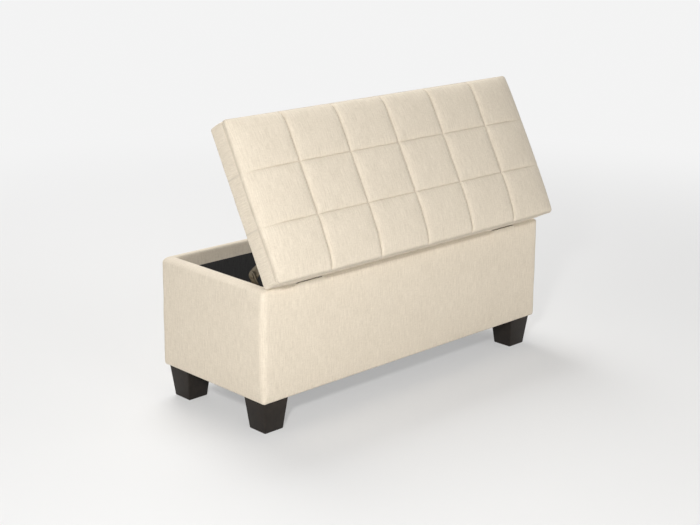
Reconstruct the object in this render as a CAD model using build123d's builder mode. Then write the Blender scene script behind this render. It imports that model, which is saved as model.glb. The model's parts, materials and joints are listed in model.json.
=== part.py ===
"""Storage bench: a fabric-covered box on four tapered feet, under a quilted lid on butt hinges.

Millimetres. X runs along the bench, -Y is the hinge side, +Z is up, and the origin is the middle
of the footprint on the floor. The lid stands open, propped on its two folding friction stays.
"""

import os
from math import atan2, cos, degrees, radians, sin

from build123d import *

os.makedirs("parts", exist_ok=True)

# Box, over the fabric
BOX_LENGTH = 1016.0
BOX_DEPTH = 392.0
BOX_UNDERSIDE = 85.0
RIM_HEIGHT = 373.0
CORNER_RADIUS = 14.0
RIM_RADIUS = 3.5
RIM_SLOPE_RUN = 4.0

# Layers of the box walls and floor
OUTER_PADDING = 3.0
RIM_PADDING = 3.0
LINING = 1.5
UNDER_FABRIC = 1.5
END_BOARD = 25.0
LONG_BOARD = 15.0
BOTTOM_BOARD = 10.0
INNER_BAND = 37.0
TURN_UNDER = 35.0
CORNER_BLOCK = 90.0
CORNER_BLOCK_HEIGHT = 20.0
BATTEN = 20.0

# Feet and their bolts
FOOT_TOP = 78.0
FOOT_BOTTOM = 59.0
FOOT_INSET = 7.0
FOOT_EDGE = 3.0
FOOT_PLATE_THICKNESS = 2.0
FOOT_PLATE_PLAY = 1.0
BOLT_RADIUS = 4.0
BOLT_IN_FOOT = 35.0
BOLT_IN_BLOCK = 14.0
FIT = 0.05

# Lid, over the fabric: it stands in from the box at the ends and out past it at the front
LID_END_INSET = 1.0
LID_FRONT_LIP = 14.75
LID_OPEN_ANGLE = 61.6
LID_FULL_ANGLE = 80.0
LID_SETBACK = 5.0
LID_GAP = 0.5
LID_BOARD = 15.0
LID_BOXING_HEIGHT = 52.0
LID_EDGE_RISE = 4.0
LID_FABRIC = 2.0
LID_CORNER_RADIUS = 8.0
LID_TURN_UNDER = 40.0

# Quilting of the lid's top
QUILT_COLUMNS = 6
QUILT_ROWS = 3
QUILT_CROWN = 24.0
QUILT_PUFF = 6.0
QUILT_SEAM_PUFF = 0.6
QUILT_SHOULDER = 8
QUILT_FULLNESS = 2.5
QUILT_STEPS = 6

# Butt hinges
HINGE_FROM_END = 148.0
HINGE_LENGTH = 76.0
HINGE_LEAF = 19.0
HINGE_PLATE = 1.2
HINGE_AXIS_OUT = 3.5
KNUCKLE_RADIUS = 2.25
KNUCKLES = 3
KNUCKLE_GAP = 0.4
HINGE_PIN_RADIUS = 1.0

# Wood screws of the hinges and stays
SCREW_RADIUS = 1.75
SCREW_HEAD_RADIUS = 3.3
SCREW_HEAD = 0.8
SCREW_HEAD_TAPER = 30.0
SCREW_LENGTH = 12.0
SCREW_SIDES = 8

# Folding lid stays: layers are depths from the inner face of the end wall
STAY_PLATE = 2.0
STAY_PLAY = 0.2
STAY_STANDOFF = 10.0
STAY_WASHER = 1.0
STAY_WALL_OFFSET = 40.5
STAY_WALL_DROP = 50.5
STAY_LID_REACH = 75.0
STAY_LID_DROP = 14.0
STAY_EYE_RADIUS = 8.0
STAY_ELBOW_RADIUS = 11.0
STAY_DISC_RADIUS = 14.0
STAY_PIN_RADIUS = 4.0
STAY_HEAD_RADIUS = 6.5
STAY_HEAD = 1.4
STAY_STOP_LENGTH = 8.0
STAY_STOP_THICKNESS = 3.0
STAY_STOP_REACH = 20.0
STAY_STOP_GAP = 0.5
STAY_FLANGE = 18.0
STAY_FLANGE_LENGTH = 44.0
STAY_SCREW_PITCH = 28.0

# Box sizes that follow
FRAME_LENGTH = BOX_LENGTH - 2 * OUTER_PADDING
FRAME_DEPTH = BOX_DEPTH - 2 * OUTER_PADDING
FRAME_BASE = BOX_UNDERSIDE + UNDER_FABRIC
FRAME_TOP = RIM_HEIGHT - RIM_PADDING
WELL_LENGTH = FRAME_LENGTH - 2 * END_BOARD
WELL_DEPTH = FRAME_DEPTH - 2 * LONG_BOARD
INNER_LENGTH = WELL_LENGTH - 2 * LINING
INNER_DEPTH = WELL_DEPTH - 2 * LINING
BAND_BOTTOM = RIM_HEIGHT - INNER_BAND
BOTTOM_LEVEL = FRAME_BASE + CORNER_BLOCK_HEIGHT
LINING_LEVEL = BOTTOM_LEVEL + BOTTOM_BOARD
HINGE_SIDE = -BOX_DEPTH / 2
FOOT_X = BOX_LENGTH / 2 - FOOT_INSET - FOOT_TOP / 2
FOOT_Y = BOX_DEPTH / 2 - FOOT_INSET - FOOT_TOP / 2
FOOT_SPOTS = {
    "hinge_left": (-FOOT_X, -FOOT_Y),
    "hinge_right": (FOOT_X, -FOOT_Y),
    "front_left": (-FOOT_X, FOOT_Y),
    "front_right": (FOOT_X, FOOT_Y),
}
FOOT_PLATE = WELL_LENGTH - 2 * FOOT_X - 2 * FOOT_PLATE_PLAY
SIDES = {"left": -1, "right": 1}

# The hinge-side rim is lower than the others by the room that the knuckles need
HINGE_RIM_DROP = 2 * KNUCKLE_RADIUS - LID_GAP
HINGE_RIM = RIM_HEIGHT - HINGE_RIM_DROP
HINGE_Y = HINGE_SIDE - HINGE_AXIS_OUT
HINGE_Z = HINGE_RIM + KNUCKLE_RADIUS
RIM_SLOPE = RIM_SLOPE_RUN * HINGE_RIM_DROP

# Lid sizes that follow; levels are measured square to the lid from the hinge axis
LID_LENGTH = BOX_LENGTH - 2 * LID_END_INSET
LID_DEPTH = BOX_DEPTH + HINGE_AXIS_OUT - LID_SETBACK + LID_FRONT_LIP
LID_UNDERSIDE = KNUCKLE_RADIUS
LID_BOARD_BASE = LID_UNDERSIDE + UNDER_FABRIC
LID_BOARD_TOP = LID_BOARD_BASE + LID_BOARD
LID_SEAM = LID_UNDERSIDE + LID_BOXING_HEIGHT
LID_EDGE = LID_SEAM + LID_EDGE_RISE
LID_MIDDLE = LID_SETBACK + LID_DEPTH / 2
LID_CORE_LENGTH = LID_LENGTH - 2 * LID_FABRIC
LID_CORE_DEPTH = LID_DEPTH - 2 * LID_FABRIC

# The lid's own plane: origin on the hinge axis, X along the axis, Y up the open lid
lid_plane = Plane(
    origin=(0, HINGE_Y, HINGE_Z),
    x_dir=(1, 0, 0),
    z_dir=(0, -sin(radians(LID_OPEN_ANGLE)), cos(radians(LID_OPEN_ANGLE))),
)


def lid_section(x):
    """Plane across the lid at x: its X runs up the lid and its Y square to the lid."""
    return Plane(origin=(x, HINGE_Y, HINGE_Z), x_dir=lid_plane.y_dir, z_dir=(1, 0, 0))


def write_piece(piece, name):
    """Label a finished piece and write its own file."""
    piece.part.label = name
    export_step(piece.part, f"parts/{name}.step")


# Boards of the box: the long boards stand between the end boards
end_boards = []
for side, sign in SIDES.items():
    with BuildPart() as end_panel:
        with BuildSketch(Plane.XY.offset(FRAME_BASE)):
            with Locations((sign * (FRAME_LENGTH - END_BOARD) / 2, 0)):
                Rectangle(END_BOARD, FRAME_DEPTH)
        extrude(amount=FRAME_TOP - FRAME_BASE)
        outer_edges = end_panel.edges().filter_by(Axis.Z).group_by(Axis.X)[-1 if sign > 0 else 0]
        fillet(outer_edges, CORNER_RADIUS - OUTER_PADDING)
    write_piece(end_panel, f"{side}_end_panel")
    end_boards.append(end_panel.part)

with BuildPart() as front_panel:
    with BuildSketch(Plane.XY.offset(FRAME_BASE)):
        with Locations((0, (FRAME_DEPTH - LONG_BOARD) / 2)):
            Rectangle(WELL_LENGTH, LONG_BOARD)
    extrude(amount=FRAME_TOP - FRAME_BASE)
write_piece(front_panel, "front_panel")

with BuildPart() as hinge_side_panel:
    with BuildSketch(Plane.XZ.offset(FRAME_DEPTH / 2 - LONG_BOARD)):
        with BuildLine():
            Polyline(
                (-WELL_LENGTH / 2, FRAME_BASE),
                (WELL_LENGTH / 2, FRAME_BASE),
                (WELL_LENGTH / 2, FRAME_TOP),
                (WELL_LENGTH / 2 - RIM_SLOPE, FRAME_TOP - HINGE_RIM_DROP),
                (RIM_SLOPE - WELL_LENGTH / 2, FRAME_TOP - HINGE_RIM_DROP),
                (-WELL_LENGTH / 2, FRAME_TOP),
                close=True,
            )
        make_face()
    extrude(amount=LONG_BOARD)
write_piece(hinge_side_panel, "hinge_side_panel")

# Floor of the box: corner blocks and battens carry the bottom board
block_x = (WELL_LENGTH - CORNER_BLOCK) / 2
block_y = (WELL_DEPTH - CORNER_BLOCK) / 2

with BuildPart() as corner_blocks:
    with Locations((0, 0, FRAME_BASE + CORNER_BLOCK_HEIGHT / 2)):
        with GridLocations(2 * block_x, 2 * block_y, 2, 2):
            Box(CORNER_BLOCK, CORNER_BLOCK, CORNER_BLOCK_HEIGHT)
    with Locations(*[(x, y, FRAME_BASE) for x, y in FOOT_SPOTS.values()]):
        Box(
            FOOT_PLATE + 2 * FIT,
            FOOT_PLATE + 2 * FIT,
            FOOT_PLATE_THICKNESS,
            align=(Align.CENTER, Align.CENTER, Align.MIN),
            mode=Mode.SUBTRACT,
        )
write_piece(corner_blocks, "corner_blocks")

with BuildPart() as bottom_battens:
    with Locations((0, 0, BOTTOM_LEVEL - BATTEN / 2)):
        with GridLocations(0, WELL_DEPTH - BATTEN, 1, 2):
            Box(WELL_LENGTH - 2 * CORNER_BLOCK, BATTEN, BATTEN)
        with GridLocations(WELL_LENGTH - BATTEN, 0, 2, 1):
            Box(BATTEN, WELL_DEPTH - 2 * CORNER_BLOCK, BATTEN)
write_piece(bottom_battens, "bottom_battens")

with BuildPart() as bottom_panel:
    with BuildSketch(Plane.XY.offset(BOTTOM_LEVEL)):
        Rectangle(WELL_LENGTH, WELL_DEPTH)
    extrude(amount=BOTTOM_BOARD)
write_piece(bottom_panel, "bottom_panel")

# Fabric of the box: one padded sleeve over the rim, with a band inside and a hem underneath
with BuildPart() as box_cover:
    with BuildSketch(Plane.XY.offset(BOX_UNDERSIDE)):
        RectangleRounded(BOX_LENGTH, BOX_DEPTH, CORNER_RADIUS)
    extrude(amount=RIM_HEIGHT - BOX_UNDERSIDE)
    fillet(box_cover.faces().sort_by(Axis.Z)[-1].edges(), RIM_RADIUS)
    with BuildSketch(Plane.XZ.offset(INNER_DEPTH / 2)):
        with BuildLine():
            Polyline(
                (WELL_LENGTH / 2, RIM_HEIGHT),
                (WELL_LENGTH / 2 - RIM_SLOPE, HINGE_RIM),
                (RIM_SLOPE - WELL_LENGTH / 2, HINGE_RIM),
                (-WELL_LENGTH / 2, RIM_HEIGHT),
                close=True,
            )
        make_face()
    extrude(amount=BOX_DEPTH - INNER_DEPTH, mode=Mode.SUBTRACT)
    hinge_rim_face = box_cover.faces().filter_by(Axis.Z).filter_by_position(
        Axis.Z, HINGE_RIM - FIT, HINGE_RIM + FIT
    )
    fillet(hinge_rim_face.edges().filter_by(Axis.X).sort_by(Axis.Y)[0], RIM_RADIUS / 2)
    with BuildSketch(Plane.XY.offset(BAND_BOTTOM)):
        Rectangle(INNER_LENGTH, INNER_DEPTH)
    extrude(amount=INNER_BAND, mode=Mode.SUBTRACT)
    with BuildSketch(Plane.XY.offset(FRAME_BASE)):
        Rectangle(WELL_LENGTH, WELL_DEPTH)
    extrude(amount=BAND_BOTTOM - FRAME_BASE, mode=Mode.SUBTRACT)
    with BuildSketch(Plane.XY.offset(BOX_UNDERSIDE)):
        Rectangle(FRAME_LENGTH - 2 * TURN_UNDER, FRAME_DEPTH - 2 * TURN_UNDER)
    extrude(amount=UNDER_FABRIC, mode=Mode.SUBTRACT)
    for board in [*end_boards, front_panel.part, hinge_side_panel.part]:
        add(board, mode=Mode.SUBTRACT)
write_piece(box_cover, "box_cover")

with BuildPart() as wall_lining:
    with BuildSketch(Plane.XY.offset(LINING_LEVEL)):
        Rectangle(WELL_LENGTH, WELL_DEPTH)
        Rectangle(INNER_LENGTH, INNER_DEPTH, mode=Mode.SUBTRACT)
    extrude(amount=BAND_BOTTOM - LINING_LEVEL)
write_piece(wall_lining, "wall_lining")

with BuildPart() as floor_lining:
    with BuildSketch(Plane.XY.offset(LINING_LEVEL)):
        Rectangle(INNER_LENGTH, INNER_DEPTH)
    extrude(amount=LINING)
write_piece(floor_lining, "floor_lining")

with BuildPart() as base_dust_cover:
    with BuildSketch(Plane.XY.offset(BOX_UNDERSIDE)):
        Rectangle(FRAME_LENGTH - 2 * TURN_UNDER, FRAME_DEPTH - 2 * TURN_UNDER)
    extrude(amount=UNDER_FABRIC)
write_piece(base_dust_cover, "base_dust_cover")

# Feet: square tapered blocks on hanger bolts, which screw into plates let into the corner blocks
foot_side = [
    (-FOOT_BOTTOM / 2, 0),
    (FOOT_BOTTOM / 2, 0),
    (FOOT_TOP / 2, BOX_UNDERSIDE),
    (-FOOT_TOP / 2, BOX_UNDERSIDE),
]
for spot, (x, y) in FOOT_SPOTS.items():
    with BuildPart() as foot:
        with BuildSketch(Plane(origin=(x, y, 0), x_dir=(1, 0, 0), z_dir=(0, -1, 0))):
            Polygon(*foot_side, align=None)
        extrude(amount=FOOT_TOP / 2, both=True)
        with BuildSketch(Plane(origin=(x, y, 0), x_dir=(0, 1, 0), z_dir=(1, 0, 0))):
            Polygon(*foot_side, align=None)
        extrude(amount=FOOT_TOP / 2, both=True, mode=Mode.INTERSECT)
        level_edges = foot.edges().filter_by(Axis.X) + foot.edges().filter_by(Axis.Y)
        chamfer(foot.edges() - level_edges, FOOT_EDGE)
    write_piece(foot, f"{spot}_foot")

with BuildPart() as foot_plates:
    with Locations(*[(x, y, FRAME_BASE) for x, y in FOOT_SPOTS.values()]):
        Box(
            FOOT_PLATE,
            FOOT_PLATE,
            FOOT_PLATE_THICKNESS,
            align=(Align.CENTER, Align.CENTER, Align.MIN),
        )
write_piece(foot_plates, "foot_plates")

bolt_length = BOLT_IN_FOOT + UNDER_FABRIC + BOLT_IN_BLOCK
with BuildPart() as foot_bolts:
    with BuildSketch(Plane.XY.offset(BOX_UNDERSIDE - BOLT_IN_FOOT)):
        with Locations(*FOOT_SPOTS.values()):
            RegularPolygon(BOLT_RADIUS, SCREW_SIDES)
    extrude(amount=bolt_length)
write_piece(foot_bolts, "foot_bolts")

# Lid core: a board under a block of foam
with BuildPart() as lid_panel:
    with BuildSketch(lid_plane.offset(LID_BOARD_BASE)):
        with Locations((0, LID_MIDDLE)):
            RectangleRounded(LID_CORE_LENGTH, LID_CORE_DEPTH, LID_CORNER_RADIUS - LID_FABRIC)
    extrude(amount=LID_BOARD)
write_piece(lid_panel, "lid_panel")

with BuildPart() as lid_foam:
    with BuildSketch(lid_plane.offset(LID_BOARD_TOP)):
        with Locations((0, LID_MIDDLE)):
            RectangleRounded(LID_CORE_LENGTH, LID_CORE_DEPTH, LID_CORNER_RADIUS - LID_FABRIC)
    extrude(amount=LID_SEAM - LID_BOARD_TOP)
write_piece(lid_foam, "lid_foam")

# Lid fabric: the boxing strip with its hem under the board, and the dust cover inside the hem
hem_length = LID_CORE_LENGTH - 2 * LID_TURN_UNDER
hem_depth = LID_CORE_DEPTH - 2 * LID_TURN_UNDER

with BuildPart() as lid_boxing:
    with BuildSketch(lid_plane.offset(LID_UNDERSIDE)):
        with Locations((0, LID_MIDDLE)):
            RectangleRounded(LID_LENGTH, LID_DEPTH, LID_CORNER_RADIUS)
    extrude(amount=LID_BOXING_HEIGHT)
    with BuildSketch(lid_plane.offset(LID_UNDERSIDE)):
        with Locations((0, LID_MIDDLE)):
            Rectangle(hem_length, hem_depth)
    extrude(amount=UNDER_FABRIC, mode=Mode.SUBTRACT)
    add(lid_panel.part, mode=Mode.SUBTRACT)
    add(lid_foam.part, mode=Mode.SUBTRACT)
write_piece(lid_boxing, "lid_boxing")

with BuildPart() as lid_dust_cover:
    with BuildSketch(lid_plane.offset(LID_UNDERSIDE)):
        with Locations((0, LID_MIDDLE)):
            Rectangle(hem_length, hem_depth)
    extrude(amount=UNDER_FABRIC)
write_piece(lid_dust_cover, "lid_dust_cover")


# Quilted top: each column of cushions is lofted between its two seams, in rows of arcs
def crown_share(x, y):
    """Share of the crown at a point: full over the middle, falling off at a soft shoulder."""
    along = 1 - abs(2 * x / LID_LENGTH) ** QUILT_SHOULDER
    across = 1 - abs(2 * y / LID_DEPTH) ** QUILT_SHOULDER
    return along * across


def quilt_level(x, y, puff):
    """Height of the quilted surface over the hinge axis, square to the lid."""
    return LID_EDGE + QUILT_CROWN * crown_share(x, y) + puff


column_width = LID_LENGTH / QUILT_COLUMNS
row_width = LID_DEPTH / QUILT_ROWS

with BuildPart() as quilted_top:
    for column in range(QUILT_COLUMNS):
        sections = []
        for step in range(QUILT_STEPS + 1):
            share = step / QUILT_STEPS
            swell = 1 - abs(2 * share - 1) ** QUILT_FULLNESS
            x = (column + share) * column_width - LID_LENGTH / 2
            puff = QUILT_SEAM_PUFF + (QUILT_PUFF - QUILT_SEAM_PUFF) * swell
            with BuildSketch(lid_section(x), mode=Mode.PRIVATE) as section:
                with BuildLine():
                    for row in range(QUILT_ROWS):
                        start = row * row_width - LID_DEPTH / 2
                        middle = start + row_width / 2
                        end = start + row_width
                        ThreePointArc(
                            (LID_MIDDLE + start, quilt_level(x, start, 0)),
                            (LID_MIDDLE + middle, quilt_level(x, middle, puff)),
                            (LID_MIDDLE + end, quilt_level(x, end, 0)),
                        )
                    Polyline(
                        (LID_SETBACK, LID_EDGE),
                        (LID_SETBACK, LID_SEAM),
                        (LID_SETBACK + LID_DEPTH, LID_SEAM),
                        (LID_SETBACK + LID_DEPTH, LID_EDGE),
                    )
                make_face()
            sections.append(section.sketch)
        loft(sections, ruled=True)
    with BuildSketch(lid_plane.offset(LID_SEAM)):
        with Locations((0, LID_MIDDLE)):
            RectangleRounded(LID_LENGTH, LID_DEPTH, LID_CORNER_RADIUS)
    extrude(amount=LID_EDGE_RISE + 2 * (QUILT_CROWN + QUILT_PUFF), mode=Mode.INTERSECT)
write_piece(quilted_top, "quilted_top")

# Butt hinges: the box leaf lies on the low rim, the lid leaf under the lid
knuckle_pitch = HINGE_LENGTH / KNUCKLES
leaf_start = KNUCKLE_RADIUS + KNUCKLE_GAP
leaf_level = KNUCKLE_RADIUS - HINGE_PLATE / 2
screw_line = leaf_start + (HINGE_LEAF - leaf_start) / 2
screw_xs = [-HINGE_LENGTH / 3, 0, HINGE_LENGTH / 3]


def hinge_leaf(x, level, own_knuckles):
    """Plate with its curled knuckles on the hinge axis, at a level square to the axis."""
    with Locations((x, (leaf_start + HINGE_LEAF) / 2, level)):
        Box(HINGE_LENGTH, HINGE_LEAF - leaf_start, HINGE_PLATE)
    for knuckle in own_knuckles:
        middle = x + (knuckle - (KNUCKLES - 1) / 2) * knuckle_pitch
        with Locations((middle, leaf_start / 2, level)):
            Box(knuckle_pitch - KNUCKLE_GAP, leaf_start, HINGE_PLATE)
        with Locations((middle, 0, 0)):
            Cylinder(KNUCKLE_RADIUS, knuckle_pitch - KNUCKLE_GAP, rotation=(0, 90, 0))
    with Locations((x, 0, 0)):
        Cylinder(HINGE_PIN_RADIUS + FIT, HINGE_LENGTH, rotation=(0, 90, 0), mode=Mode.SUBTRACT)


# Wood screw with a low head, standing on its underside of head; few sides keep the facets down
with BuildPart() as wood_screw:
    with BuildSketch():
        RegularPolygon(SCREW_RADIUS, SCREW_SIDES)
    extrude(amount=-SCREW_LENGTH)
    with BuildSketch():
        RegularPolygon(SCREW_HEAD_RADIUS, SCREW_SIDES)
    extrude(amount=SCREW_HEAD, taper=SCREW_HEAD_TAPER)

with BuildPart() as screw_hole:
    with BuildSketch():
        RegularPolygon(SCREW_RADIUS + FIT, SCREW_SIDES)
    extrude(amount=-SCREW_LENGTH)


box_plane = Plane(origin=(0, HINGE_Y, HINGE_Z))
leaf_face = leaf_level - HINGE_PLATE / 2
box_hinge_places = []
lid_hinge_places = []
for side, sign in SIDES.items():
    x = sign * (BOX_LENGTH / 2 - HINGE_FROM_END)
    box_places = [Location((x + dx, screw_line, -leaf_face)) for dx in screw_xs]
    lid_places = [Location((x + dx, screw_line, leaf_face), (180, 0, 0)) for dx in screw_xs]
    with BuildPart(box_plane) as box_leaf:
        hinge_leaf(x, -leaf_level, range(0, KNUCKLES, 2))
        with Locations(*box_places):
            add(screw_hole.part, mode=Mode.SUBTRACT)
    write_piece(box_leaf, f"{side}_hinge_box_leaf")
    with BuildPart(lid_plane) as lid_leaf:
        hinge_leaf(x, leaf_level, range(1, KNUCKLES, 2))
        with Locations(*lid_places):
            add(screw_hole.part, mode=Mode.SUBTRACT)
    write_piece(lid_leaf, f"{side}_hinge_lid_leaf")
    with BuildPart(box_plane) as hinge_pin:
        with Locations((x, 0, 0)):
            Cylinder(HINGE_PIN_RADIUS, HINGE_LENGTH, rotation=(0, 90, 0))
    write_piece(hinge_pin, f"{side}_hinge_pin")
    box_hinge_places += box_places
    lid_hinge_places += lid_places

with BuildPart(box_plane) as box_hinge_screws:
    with Locations(*box_hinge_places):
        add(wood_screw.part)
write_piece(box_hinge_screws, "box_hinge_screws")

with BuildPart(lid_plane) as lid_hinge_screws:
    with Locations(*lid_hinge_places):
        add(wood_screw.part)
write_piece(lid_hinge_screws, "lid_hinge_screws")

# Folding stays: a parallel linkage, so both arms keep a steady ratio to the lid.
# Points are (Y, Z) in the box; the elbow is as far from the wall pivot as the lid pivot from the hinge.
lid_angle = radians(LID_OPEN_ANGLE)
lid_pivot_level = LID_UNDERSIDE - STAY_LID_DROP
lid_pivot_y = STAY_LID_REACH * cos(lid_angle) - lid_pivot_level * sin(lid_angle)
lid_pivot_z = STAY_LID_REACH * sin(lid_angle) + lid_pivot_level * cos(lid_angle)
LID_PIVOT = (HINGE_Y + lid_pivot_y, HINGE_Z + lid_pivot_z)
WALL_PIVOT = (HINGE_SIDE + STAY_WALL_OFFSET, RIM_HEIGHT - STAY_WALL_DROP)
ELBOW = (WALL_PIVOT[0] + lid_pivot_y, WALL_PIVOT[1] + lid_pivot_z)

# The stop tab stands where the lower arm's edge arrives when the lid is fully open
arm_length = (lid_pivot_y**2 + lid_pivot_z**2) ** 0.5
stop_angle = atan2(lid_pivot_z, lid_pivot_y) + radians(LID_FULL_ANGLE - LID_OPEN_ANGLE)
arm_half_width = STAY_EYE_RADIUS + (STAY_ELBOW_RADIUS - STAY_EYE_RADIUS) * STAY_STOP_REACH / arm_length
stop_side = arm_half_width + STAY_STOP_THICKNESS / 2 + STAY_STOP_GAP
STOP_TAB = (
    WALL_PIVOT[0] + STAY_STOP_REACH * cos(stop_angle) - stop_side * sin(stop_angle),
    WALL_PIVOT[1] + STAY_STOP_REACH * sin(stop_angle) + stop_side * cos(stop_angle),
)

# Layers of a stay, as depths from the end wall's inner face
LOWER_ARM_FACE = STAY_STANDOFF
WASHER_FACE = LOWER_ARM_FACE + STAY_PLATE + STAY_PLAY
UPPER_ARM_FACE = WASHER_FACE + STAY_WASHER + STAY_PLAY
UPPER_ARM_BACK = UPPER_ARM_FACE + STAY_PLATE + STAY_PLAY
RIVET_FACE = LOWER_ARM_FACE - STAY_PLAY
LID_TAB_FACE = UPPER_ARM_FACE - STAY_PLAY - STAY_PLATE
STAY_WALL = INNER_LENGTH / 2


def stay_layer(sign, near, far):
    """Plane at the lower-X side of a layer between two depths from an end wall."""
    return Plane.YZ.offset(min(sign * (STAY_WALL - near), sign * (STAY_WALL - far)))


def disc(sign, near, far, centre, radius, mode=Mode.ADD):
    """Round boss, pin or head between two depths from an end wall."""
    with BuildSketch(stay_layer(sign, near, far)) as outline:
        with Locations(centre):
            Circle(radius)
    extrude(outline.sketch, amount=far - near, mode=mode)


def arm(sign, near, start, start_radius, end, end_radius):
    """Flat arm with two round ends, drilled for its pins."""
    with BuildSketch(stay_layer(sign, near, near + STAY_PLATE)) as outline:
        with Locations(start):
            Circle(start_radius)
        with Locations(end):
            Circle(end_radius)
        make_hull()
        with Locations(start, end):
            Circle(STAY_PIN_RADIUS + FIT, mode=Mode.SUBTRACT)
    extrude(outline.sketch, amount=STAY_PLATE)


wall_screw_spots = [
    (WALL_PIVOT[0] + STAY_EYE_RADIUS, WALL_PIVOT[1] - STAY_SCREW_PITCH / 2),
    (WALL_PIVOT[0] + STAY_EYE_RADIUS, WALL_PIVOT[1] + STAY_SCREW_PITCH / 2),
]
wall_stay_places = []
lid_stay_places = []
for side, sign in SIDES.items():
    inward = (0, -90 * sign, 0)
    wall_places = [
        Location((sign * (STAY_WALL - STAY_PLATE), y, z), inward) for y, z in wall_screw_spots
    ]
    with BuildPart() as wall_bracket:
        with BuildSketch(stay_layer(sign, 0, STAY_PLATE)):
            for spot in [WALL_PIVOT, STOP_TAB, *wall_screw_spots]:
                with Locations(spot):
                    Circle(STAY_EYE_RADIUS)
            make_hull()
        extrude(amount=STAY_PLATE)
        with Locations(*wall_places):
            add(screw_hole.part, mode=Mode.SUBTRACT)
        disc(sign, STAY_PLATE, RIVET_FACE, WALL_PIVOT, STAY_HEAD_RADIUS)
        disc(sign, RIVET_FACE, WASHER_FACE, WALL_PIVOT, STAY_PIN_RADIUS)
        disc(sign, WASHER_FACE, WASHER_FACE + STAY_HEAD, WALL_PIVOT, STAY_HEAD_RADIUS)
        with BuildSketch(stay_layer(sign, STAY_PLATE, LOWER_ARM_FACE + STAY_PLATE)):
            with Locations(STOP_TAB):
                Rectangle(STAY_STOP_LENGTH, STAY_STOP_THICKNESS, rotation=degrees(stop_angle))
        extrude(amount=LOWER_ARM_FACE)
    write_piece(wall_bracket, f"{side}_stay_wall_bracket")

    with BuildPart() as lower_arm:
        arm(sign, LOWER_ARM_FACE, WALL_PIVOT, STAY_EYE_RADIUS, ELBOW, STAY_ELBOW_RADIUS)
    write_piece(lower_arm, f"{side}_stay_lower_arm")

    with BuildPart() as friction_washer:
        disc(sign, WASHER_FACE, WASHER_FACE + STAY_WASHER, ELBOW, STAY_ELBOW_RADIUS)
        disc(sign, WASHER_FACE, UPPER_ARM_FACE, ELBOW, STAY_PIN_RADIUS + FIT, Mode.SUBTRACT)
    write_piece(friction_washer, f"{side}_stay_friction_washer")

    with BuildPart() as upper_arm:
        arm(sign, UPPER_ARM_FACE, ELBOW, STAY_DISC_RADIUS, LID_PIVOT, STAY_EYE_RADIUS)
    write_piece(upper_arm, f"{side}_stay_upper_arm")

    with BuildPart() as elbow_rivet:
        disc(sign, RIVET_FACE - STAY_HEAD, RIVET_FACE, ELBOW, STAY_HEAD_RADIUS)
        disc(sign, RIVET_FACE, UPPER_ARM_BACK, ELBOW, STAY_PIN_RADIUS)
        disc(sign, UPPER_ARM_BACK, UPPER_ARM_BACK + STAY_HEAD, ELBOW, STAY_HEAD_RADIUS)
    write_piece(elbow_rivet, f"{side}_stay_elbow_rivet")

    flange_x = sign * (STAY_WALL - LID_TAB_FACE - STAY_FLANGE / 2)
    flange_top = LID_UNDERSIDE - STAY_PLATE
    lid_places = [
        Location((flange_x - sign * STAY_PLATE, STAY_LID_REACH + dy, flange_top), (180, 0, 0))
        for dy in (-STAY_SCREW_PITCH / 2, STAY_SCREW_PITCH / 2)
    ]
    tab_x = sign * (STAY_WALL - LID_TAB_FACE)
    with BuildPart(lid_plane) as lid_bracket:
        with Locations((flange_x, STAY_LID_REACH, LID_UNDERSIDE - STAY_PLATE / 2)):
            Box(STAY_FLANGE, STAY_FLANGE_LENGTH, STAY_PLATE)
        with Locations(*lid_places):
            add(screw_hole.part, mode=Mode.SUBTRACT)
        with BuildSketch(lid_section(min(tab_x, tab_x - sign * STAY_PLATE))):
            with Locations((STAY_LID_REACH, lid_pivot_level)):
                Circle(STAY_EYE_RADIUS)
            with Locations((STAY_LID_REACH, LID_UNDERSIDE - STAY_PLATE / 2)):
                Rectangle(STAY_FLANGE_LENGTH, STAY_PLATE)
            make_hull()
        extrude(amount=STAY_PLATE)
        disc(sign, LID_TAB_FACE, UPPER_ARM_BACK, LID_PIVOT, STAY_PIN_RADIUS)
        disc(sign, UPPER_ARM_BACK, UPPER_ARM_BACK + STAY_HEAD, LID_PIVOT, STAY_HEAD_RADIUS)
    write_piece(lid_bracket, f"{side}_stay_lid_bracket")
    wall_stay_places += wall_places
    lid_stay_places += lid_places

with BuildPart() as wall_stay_screws:
    with Locations(*wall_stay_places):
        add(wood_screw.part)
write_piece(wall_stay_screws, "wall_stay_screws")

with BuildPart(lid_plane) as lid_stay_screws:
    with Locations(*lid_stay_places):
        add(wood_screw.part)
write_piece(lid_stay_screws, "lid_stay_screws")

print("stay pivots (Y, Z): wall", WALL_PIVOT, "elbow", ELBOW, "lid", LID_PIVOT)
print("hinge axis (Y, Z):", (HINGE_Y, HINGE_Z), "lower arm at", degrees(atan2(lid_pivot_z, lid_pivot_y)))
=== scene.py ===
"""Looks of the storage bench: padded fabric, quilting, linings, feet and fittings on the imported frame.

Metres. X runs along the bench, -Y is the hinge side and +Z is up. Pieces of the lid are shaped with the
lid lying shut on its hinge axis, and then turned to the angle at which it is propped open.
"""

import json
import logging
import math
from collections.abc import Callable
from dataclasses import dataclass, field, replace
from enum import Enum

import bpy
import numpy as np
from bpy.types import Material, MeshPolygon, Node, NodeSocket, NodeTree, Object
from mathutils import Matrix, Vector

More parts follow.
